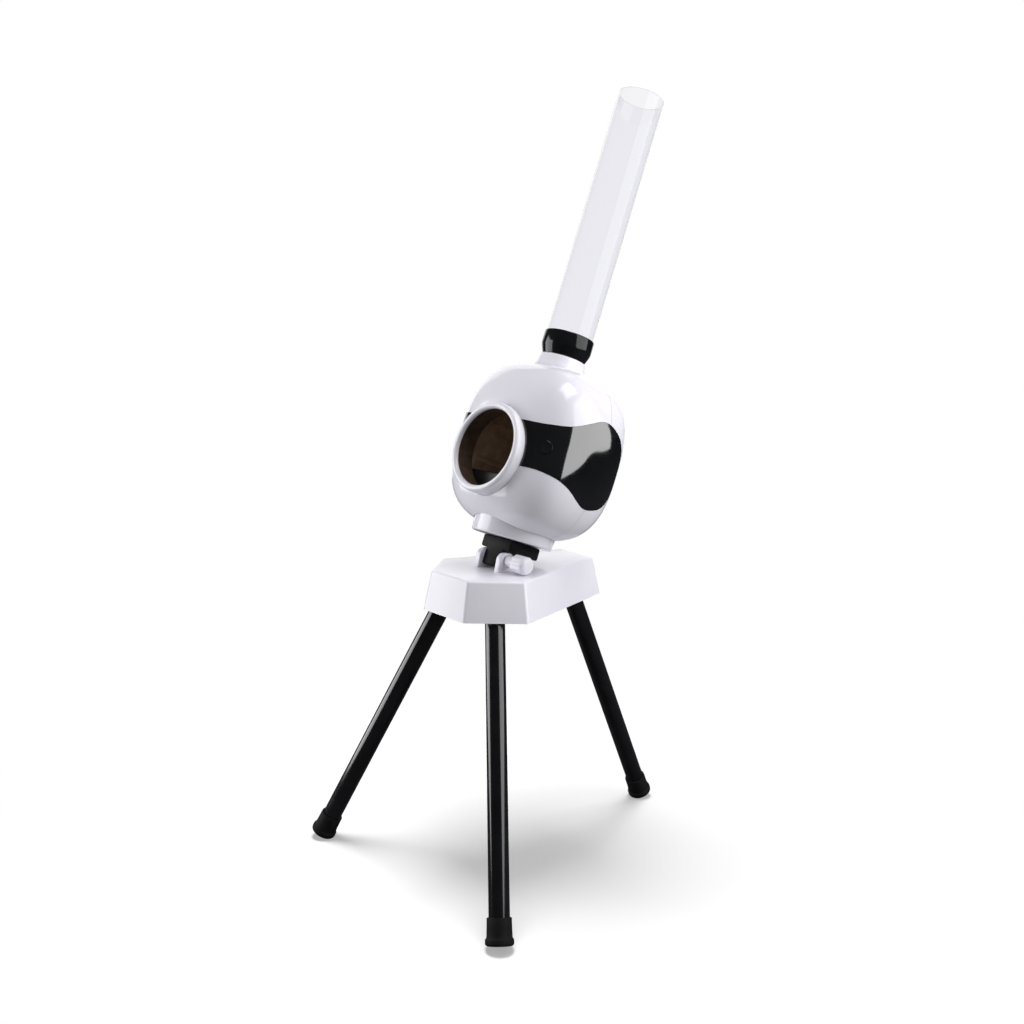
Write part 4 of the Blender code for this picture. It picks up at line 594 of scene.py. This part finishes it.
def make_visors(visor_loop):
    for side, node in ((1, "visor_right"), (-1, "visor_left")):
        panel = head_form(node + "_panel", VISOR_PROUD)
        carve(panel, visor_cutter("outline", visor_loop, side), "INTERSECT")
        carve(panel, head_form("underside", -VISOR_T))
        carve(panel, mouth_cutter("ring_clear", RING_R + 2 * GAP))
        if side > 0:
            carve(panel, button_cutter())
        panel.data.transform(HEAD_PLACE)
        finish_piece(panel, BLACK_ABS, "head", [node], 30.0)


def make_door():
    door = head_form("battery_door_panel", 0.0)
    carve(door, door_cutter("door_blank", 0.0), "INTERSECT")
    carve(door, head_form("door_under", -DOOR_T))
    door.data.transform(HEAD_PLACE)
    finish_piece(door, WHITE_ABS, "door", ["battery_door"], 30.0)


def make_mouth_ring():
    lip = (RING_R - MOUTH_R) / 2
    crest = (MOUTH_R + lip, RING_CREST - lip)
    profile = arc(crest, lip, 90, 0, 10)
    profile += [(RING_R, RING_BACK), (SLEEVE_R + GAP, RING_BACK),
                (SLEEVE_R + GAP, RING_CREST - RING_LIP), (MOUTH_R, RING_CREST - RING_LIP)]
    profile += arc(crest, lip, 180, 99, 9)
    place = (HEAD_PLACE @ Matrix.Translation((0, HEAD_MIDDLE.y, MOUTH_Z))
             @ Matrix.Rotation(math.radians(90), 4, "X"))
    ring = spun("mouth_trim", profile, place, FINE_ROUND)
    finish_piece(ring, WHITE_ABS, "head", ["mouth_ring"])


def make_neck_and_collar(on_tube):
    neck = [(NECK_TOP_R - 0.0006, NECK_TOP), (NECK_TOP_R, NECK_TOP - 0.0006),
            (NECK_TOP_R + 0.0004, NECK_TOP - 0.003), (NECK_TOP_R + 0.0014, NECK_TOP - 0.008),
            (NECK_R - 0.001, NECK_SEAM + 0.003), (NECK_R, NECK_SEAM), (NECK_R, NECK_BOTTOM),
            (THROAT_R + GAP, NECK_BOTTOM), (THROAT_R + GAP, NECK_TOP)]
    finish_piece(spun("neck_trim", neck, on_tube), WHITE_ABS, "head",
                 ["neck_ring"])

    collar = [(COLLAR_R - 0.0014, COLLAR_HIGH), (COLLAR_R - 0.0006, COLLAR_HIGH - 0.0003),
              (COLLAR_R - 0.0002, COLLAR_HIGH - 0.001), (COLLAR_R, COLLAR_HIGH - 0.002),
              (COLLAR_R, COLLAR_LOW + 0.018), (COLLAR_R - 0.0003, COLLAR_LOW + 0.0155),
              (COLLAR_R - 0.0014, COLLAR_LOW + 0.012), (COLLAR_R - 0.0035, COLLAR_LOW + 0.0065),
              (COLLAR_LOW_R, COLLAR_LOW), (THROAT_BORE, COLLAR_LOW), (THROAT_BORE, COLLAR_SEAT),
              (TUBE_R + GAP, COLLAR_SEAT), (TUBE_R + GAP, COLLAR_HIGH)]
    finish_piece(spun("collar_moulding", collar, on_tube), BLACK_COLLAR, "head",
                 ["tube_collar"])


def make_tube(on_tube):
    inner = TUBE_R - TUBE_WALL
    soft = 0.0003            # both edges of the sawn rim are broken
    tube = [(TUBE_R - soft, TUBE_TOP), (TUBE_R, TUBE_TOP - soft), (TUBE_R, TUBE_BOTTOM),
            (inner, TUBE_BOTTOM), (inner, TUBE_TOP - soft), (inner + soft, TUBE_TOP)]
    finish_piece(spun("tube_extrusion", tube, on_tube, FINE_ROUND), CLEAR, "tube",
                 ["hopper_tube"])


def make_skirt():
    corner = (SKIRT_R - SKIRT_ROUND, SKIRT_LOW + SKIRT_ROUND)
    skirt = [(SKIRT_TOP_R, SKIRT_HIGH)] + arc(corner, SKIRT_ROUND, 0, -90, 6)
    skirt += [(0.0, SKIRT_LOW), (0.0, SKIRT_LOW + SKIRT_FLOOR),
              (SKIRT_R - SKIRT_WALL, SKIRT_LOW + SKIRT_FLOOR),
              (SKIRT_TOP_R - SKIRT_WALL, SKIRT_HIGH)]
    place = HEAD_PLACE @ Matrix.Translation((0, HEAD_MIDDLE.y, 0))
    finish_piece(spun("skirt_cup", skirt, place), WHITE_ABS, "head",
                 ["head_skirt"])


def make_button():
    turn = Vector((0, 0, 1)).rotation_difference(button_normal()).to_matrix().to_4x4()
    place = HEAD_PLACE @ Matrix.Translation(BUTTON_AT) @ turn
    cap = spun("button_cap", BUTTON_SECTION, place, SMALL_ROUND, closed=False)
    finish_piece(cap, BLACK_ABS, "button", ["power_button"])


# Base, clamp and legs

def make_base():
    bpy.ops.mesh.primitive_circle_add(vertices=len(BASE_CORNERS), radius=0.1, fill_type="NGON")
    cover = bpy.context.object
    cover.name = "base_moulding"
    for vert, place in zip(cover.data.vertices, mitred(BASE_CORNERS, 0.0)):
        vert.co = (place.x, place.y, BASE_TOP)
    edit_all(cover)
    bpy.ops.mesh.extrude_region_move(TRANSFORM_OT_translate={"value": (0, 0, BASE_LOW - BASE_TOP)})
    bpy.ops.object.mode_set(mode="OBJECT")
    just_above = BASE_LOW + 0.001
    low_corners = mitred(BASE_CORNERS, BASE_DRAFT)
    for vert in cover.data.vertices:
        if vert.co.z < just_above:
            near = min(low_corners, key=lambda p: (p - vert.co.xy).length)
            vert.co = (near.x, near.y, BASE_LOW)
    edit_all(cover)
    bpy.ops.mesh.normals_make_consistent(inside=False)
    bpy.ops.mesh.select_mode(type="FACE")
    bpy.ops.mesh.select_all(action="DESELECT")
    bpy.ops.object.mode_set(mode="OBJECT")
    for face in cover.data.polygons:
        face.select = all(cover.data.vertices[i].co.z < just_above for i in face.vertices)
    bpy.ops.object.mode_set(mode="EDIT")
    bpy.ops.mesh.delete(type="FACE")
    bpy.ops.object.mode_set(mode="OBJECT")
    soften(cover, BASE_EDGE_R, 5, 20.0)
    wall = cover.modifiers.new("wall", "SOLIDIFY")
    wall.thickness = BASE_WALL
    wall.offset = -1.0
    wall.use_even_offset = True
    apply_all(cover)
    cover.data.transform(Matrix.Translation((0, MACHINE_Y, 0)))
    finish_piece(cover, WHITE_ABS, "base", ["base_cover"], 50.0)


def make_ears():
    """The base's two ears, each a low mound whose crown is round at both ends."""
    rear = (PIVOT.y, PIVOT.z)
    front = (PIVOT.y - EAR_FLAT, PIVOT.z)
    foot = BASE_TOP - EAR_SINK
    outline = arc(rear, EAR_R, 0, 90, 14) + arc(front, EAR_R, 90, 180, 14)
    outline += [(front[0] - EAR_FOOT, foot), (rear[0] + EAR_FOOT, foot)]
    for side, name in ((1, "ear_right"), (-1, "ear_left")):
        low, high = sorted((side * EAR_INNER_X, side * EAR_OUTER_X))
        ear = prism(name, outline, low, high)
        carve(ear, rod("bolt_way", (low - 0.01, PIVOT.y, PIVOT.z), (high + 0.01, PIVOT.y, PIVOT.z),
                       BOLT_BORE_R, 32))
        soften(ear, EAR_EDGE_R, 3, 50.0)
        finish_piece(ear, WHITE_ABS, "base")


def make_knob():
    start = EAR_OUTER_X + WASHER_T + 2 * GAP
    hub_end = start + KNOB_HUB_L
    end = hub_end + KNOB_GRIP_L
    bore_end = start + GAP + KNOB_BORE_L
    profile = [(KNOB_HUB_R - 0.0008, start), (KNOB_HUB_R - 0.0002, start + 0.0003),
               (KNOB_HUB_R, start + 0.001), (KNOB_HUB_R, hub_end - 0.0035),
               (KNOB_HUB_R + 0.0008, hub_end - 0.0022), (KNOB_R - 0.0018, hub_end - 0.0004),
               (KNOB_R - 0.0005, hub_end + 0.0006), (KNOB_R, hub_end + 0.002),
               (KNOB_R, hub_end + 0.009), (KNOB_R, hub_end + 0.015)]
    profile += arc((KNOB_R - KNOB_CROWN, end - KNOB_CROWN), KNOB_CROWN, 0, 90, 9)
    profile += [(0.0, end), (0.0, bore_end), (BOLT_BORE_R, bore_end), (BOLT_BORE_R, start)]
    knob = spun("knob_grip", profile, Matrix.Identity(4), KNOB_STEPS)
    for vert in knob.data.vertices:
        radius = vert.co.xy.length
        if radius > KNOB_HUB_R + 0.001 and vert.co.z > hub_end - 0.0008:
            wave = 0.5 - 0.5 * math.cos(KNOB_FLUTES * math.atan2(vert.co.y, vert.co.x))
            share = min(1.0, (end - vert.co.z) / KNOB_FLUTE_END)
            vert.co.xy = vert.co.xy * (1 - KNOB_FLUTE_DEPTH * share * wave / radius)
    knob.data.transform(Matrix.Translation((0, PIVOT.y, PIVOT.z))
                        @ Matrix.Rotation(math.radians(90), 4, "Y"))
    finish_piece(knob, WHITE_ABS, "knob", ["clamp_knob"])


def make_legs():
    """Leg tubes and rubber feet, each turned round a Z that runs up the leg from the floor."""
    shift = Vector((0, MACHINE_Y, 0))
    for name, top, foot in LEG_AXES:
        axis = top - foot
        lean = math.atan2(axis.xy.length, axis.z)
        turn = Vector((0, 0, 1)).rotation_difference(axis).to_matrix().to_4x4()
        place = Matrix.Translation(foot + shift) @ turn
        edge = FOOT_R - FOOT_ROUND
        reach = edge * math.sin(lean) + FOOT_ROUND - FOOT_WORN
        low = reach / math.cos(lean) - FOOT_ROUND
        tube_low = low + FOOT_SOLE
        tube_high = axis.length + LEG_IN_SOCKET
        inner = LEG_R - LEG_WALL
        tube = spun("leg_tube_" + name, [(LEG_R, tube_high), (LEG_R, tube_low), (inner, tube_low),
                                         (inner, tube_high)], place, SMALL_ROUND)
        finish_piece(tube, BLACK_ENAMEL, "base", ["leg_" + name])

        high = low + FOOT_H
        bore = LEG_R + GAP
        profile = [(0.0157, high), (0.0162, high - 0.0002), (0.0165, high - 0.0008),
                   (0.0167, low + 0.022), (0.0171, low + 0.011), (0.0176, low + 0.0095),
                   (0.0187, low + 0.0085), (FOOT_R, low + 0.0075)]
        profile += arc((edge, low + FOOT_ROUND), FOOT_ROUND, 0, -90, 8)
        profile += [(0.0, low), (0.0, tube_low - GAP), (bore, tube_low - GAP), (bore, high)]
        cap = spun("foot_cap_" + name, profile, place, SMALL_ROUND)
        x, y = foot.x, foot.y + shift.y
        carve(cap, block("ground", (x - FOOT_GROUND, y - FOOT_GROUND, -FOOT_GROUND),
                         (x + FOOT_GROUND, y + FOOT_GROUND, 0.0)))
        finish_piece(cap, FOOT_RUBBER, "base", ["foot_" + name])


# CAD nodes

def make_soft_copies():
    """Copies of sharp-edged CAD nodes with their edges rounded."""
    copies = (("tilt_bracket", "bracket_casting", BLACK_SATIN, "head", "black_satin_plastic",
               0.0005),
              ("launch_chamber", "chamber_moulding", BROWN_PP, "head", "dark_brown_plastic",
               0.0004),
              ("striker_flap", "flap_moulding", GREY_ACETAL, "striker", "grey_plastic", 0.0004),
              ("mouth_sill", "sill_moulding", GREY_ACETAL, "head", "grey_plastic", 0.0008),
              ("clamp_bolt", "hexagon_bolt", STEEL, "base", "steel", 0.0003),
              ("clamp_washer", "flat_washer", STEEL, "base", "steel", 0.0002))
    for node, name, material, body, slot, width in copies:
        item = merged_copy(node, name)
        soften(item, width)
        finish_piece(item, material, body, [node])


def paint_nodes():
    """Materials of the CAD nodes that show as they are."""
    slots = {"white_plastic": WHITE_ABS, "black_gloss_plastic": BLACK_ABS,
             "black_satin_plastic": BLACK_SATIN, "steel": STEEL, "black_enamel": BLACK_ENAMEL,
             "rubber": FOOT_RUBBER, "clear_plastic": CLEAR, "nylon": NATURAL_NYLON,
             "dark_brown_plastic": BROWN_PP, "grey_plastic": GREY_ACETAL, "board": SOLDER_MASK,
             "battery_wrap": SHRINK_FILM}
    for part in frame["record"]["subparts"]:
        mesh = frame["nodes"][part["node"]].data
        mesh.materials.clear()
        # The sleeve in the mouth takes the brown with painted shade
        sleeve = part["node"] == "mouth_sleeve"
        mesh.materials.append(BROWN_SLEEVE_PAINTED_SHADE if sleeve else slots[part["material_slot"]])


# Studio

def ray_kinds(tree):
    """Two values: 1 for the camera and for rays through clear pieces, and 1 for glossy rays."""
    path = add_node(tree, "ShaderNodeLightPath")
    seen = add_node(tree, "ShaderNodeMath", {"operation": "MAXIMUM"})
    tree.links.new(path.outputs["Is Camera Ray"], seen.inputs[0])
    tree.links.new(path.outputs["Is Transmission Ray"], seen.inputs[1])
    return seen.outputs[0], path.outputs["Is Glossy Ray"]


def two_tone(tree, factor, low, high):
    """Value that is low where factor is 0 and high where it is 1."""
    node = add_node(tree, "ShaderNodeMapRange", {"To Min": low, "To Max": high},
                    {"Value": factor})
    return node.outputs["Result"]


def combined(tree, operation, first, second, **settings):
    """Result of one sum on two values."""
    node = add_node(tree, "ShaderNodeMath", {"operation": operation, **settings})
    tree.links.new(first, node.inputs[0])
    tree.links.new(second, node.inputs[1])
    return node.outputs[0]


def floor_material():
    """Pale paint that keeps the shadow near the machine and turns to plain white further out."""
    material = bpy.data.materials.new("pale_studio_floor")
    material.use_nodes = True
    tree = material.node_tree
    tree.nodes.clear()
    seen, mirrored = ray_kinds(tree)
    away = add_node(tree, "ShaderNodeVectorMath", {"operation": "LENGTH"})
    tree.links.new(add_node(tree, "ShaderNodeTexCoord").outputs["Object"], away.inputs[0])
    far = add_node(tree, "ShaderNodeMapRange",
                   {"From Min": FLOOR_FADE[0], "From Max": FLOOR_FADE[1]},
                   {"Value": away.outputs["Value"]})
    blank = combined(tree, "MULTIPLY", far.outputs["Result"], seen)
    level = combined(tree, "SUBTRACT", two_tone(tree, seen, FLOOR_BOUNCE, FLOOR_SEEN),
                     two_tone(tree, mirrored, 0.0, FLOOR_BOUNCE - FLOOR_MIRRORED), use_clamp=True)
    paint = add_node(tree, "ShaderNodeBsdfDiffuse", None, {"Color": level})
    glow = add_node(tree, "ShaderNodeEmission", {"Color": (1, 1, 1, 1)},
                    {"Strength": two_tone(tree, seen, 0.0, FLOOR_LIFT)})
    both = add_node(tree, "ShaderNodeAddShader")
    tree.links.new(paint.outputs[0], both.inputs[0])
    tree.links.new(glow.outputs[0], both.inputs[1])
    white = add_node(tree, "ShaderNodeEmission", {"Color": (1, 1, 1, 1), "Strength": 1.0})
    whole = add_node(tree, "ShaderNodeMixShader", None, {"Fac": blank})
    tree.links.new(both.outputs[0], whole.inputs[1])
    tree.links.new(white.outputs[0], whole.inputs[2])
    add_node(tree, "ShaderNodeOutputMaterial", None, {"Surface": whole.outputs[0]})
    return material


def make_floor():
    bpy.ops.mesh.primitive_circle_add(vertices=96, radius=FLOOR_SIZE, fill_type="NGON",
                                      location=(0, 0, 0))
    floor = bpy.context.object
    floor.name = "studio_floor"
    floor.data.materials.append(floor_material())
    bpy.data.collections.new("floor_only").objects.link(floor)


def make_air():
    world = bpy.data.worlds.new("studio_air")
    bpy.context.scene.world = world
    world.use_nodes = True
    tree = world.node_tree
    tree.nodes.clear()
    seen, mirrored = ray_kinds(tree)
    level = combined(tree, "MAXIMUM", two_tone(tree, mirrored, AIR, AIR_MIRRORED), seen)
    air = add_node(tree, "ShaderNodeBackground", {"Color": (1, 1, 1, 1)}, {"Strength": level})
    add_node(tree, "ShaderNodeOutputWorld", None, {"Surface": air.outputs[0]})


def softbox(name, azimuth, elevation, distance, size, glow, aim=0.6, floor_only=False):
    """Lamp that faces a place at height aim over the origin. Azimuth 0 is in front of the
    mouth and 90 is on the knob's side. Neither the camera nor the clear tube shows it."""
    a, e = math.radians(azimuth), math.radians(elevation)
    back = Vector((math.sin(a) * math.cos(e), -math.cos(a) * math.cos(e), math.sin(e)))
    lamp = bpy.data.lights.new(name, "AREA")
    lamp.shape = "RECTANGLE"
    lamp.size, lamp.size_y = size
    lamp.energy = glow * math.pi * size[0] * size[1]
    item = new_object(name, lamp)
    item.location = Vector((0.0, 0.0, aim)) + back * distance
    item.rotation_mode = "QUATERNION"
    item.rotation_quaternion = (-back).to_track_quat("-Z", "Y")
    item.visible_camera = False
    item.visible_transmission = False
    if floor_only:
        item.light_linking.receiver_collection = bpy.data.collections["floor_only"]


def make_lamps():
    # Main light, whose edge the right visor mirrors
    softbox("right_box", 115.5, 0.0, distance=1.7, size=(1.75, 1.96), glow=3.15, aim=1.40)
    # Fill on the mouth and the head's left
    softbox("left_box", -48.0, 0.0, distance=1.9, size=(1.5, 1.5), glow=4.25, aim=0.78)
    # Soft light from above
    softbox("top_box", 95.0, 72.0, distance=2.4, size=(1.2, 1.2), glow=5.6)
    # Light that the base's top mirrors at a low angle
    softbox("rear_box", 228.0, 14.0, distance=2.4, size=(3.2, 2.2), glow=1.15)
    # Lights the floor alone, which gives the shadow under the machine its strength
    softbox("floor_box", -90.0, 84.0, distance=2.4, size=(1.0, 1.0), glow=122.0, floor_only=True)


def make_camera():
    azimuth, pitch = math.radians(CAMERA_AZIMUTH_DEG), math.radians(CAMERA_PITCH_DEG)
    roll = math.radians(CAMERA_ROLL_DEG)
    forward = Vector((-math.sin(azimuth) * math.cos(pitch), math.cos(azimuth) * math.cos(pitch),
                      -math.sin(pitch)))
    right = forward.cross(Vector((0, 0, 1))).normalized()
    up = right.cross(forward)
    rolled_right = right * math.cos(roll) + up * math.sin(roll)
    rolled_up = up * math.cos(roll) - right * math.sin(roll)
    camera = bpy.data.cameras.new("photo_camera")
    camera.sensor_width = SENSOR_MM
    camera.lens = SENSOR_MM * FOCAL_PX / PHOTO_PX
    camera.clip_start = 0.05
    camera.clip_end = 100.0
    item = new_object("photo_camera", camera)
    turn = Matrix((rolled_right, rolled_up, -forward)).transposed()
    item.matrix_world = Matrix.Translation(CAMERA_AT) @ turn.to_4x4()
    bpy.context.scene.camera = item


make_camera()
paint_nodes()
visor_curve = smooth_loop(VISOR_OUTLINE, VISOR_STEPS)
make_shells(visor_curve)
make_visors(visor_curve)
make_door()
make_mouth_ring()
tube_place = HEAD_PLACE @ Matrix.Translation((0, TUBE_Y, 0))
make_neck_and_collar(tube_place)
make_tube(tube_place)
make_skirt()
make_base()
make_ears()
make_legs()
make_knob()
make_button()
make_soft_copies()
make_floor()
make_air()
make_lamps()
bpy.context.scene.view_settings.view_transform = "Standard"
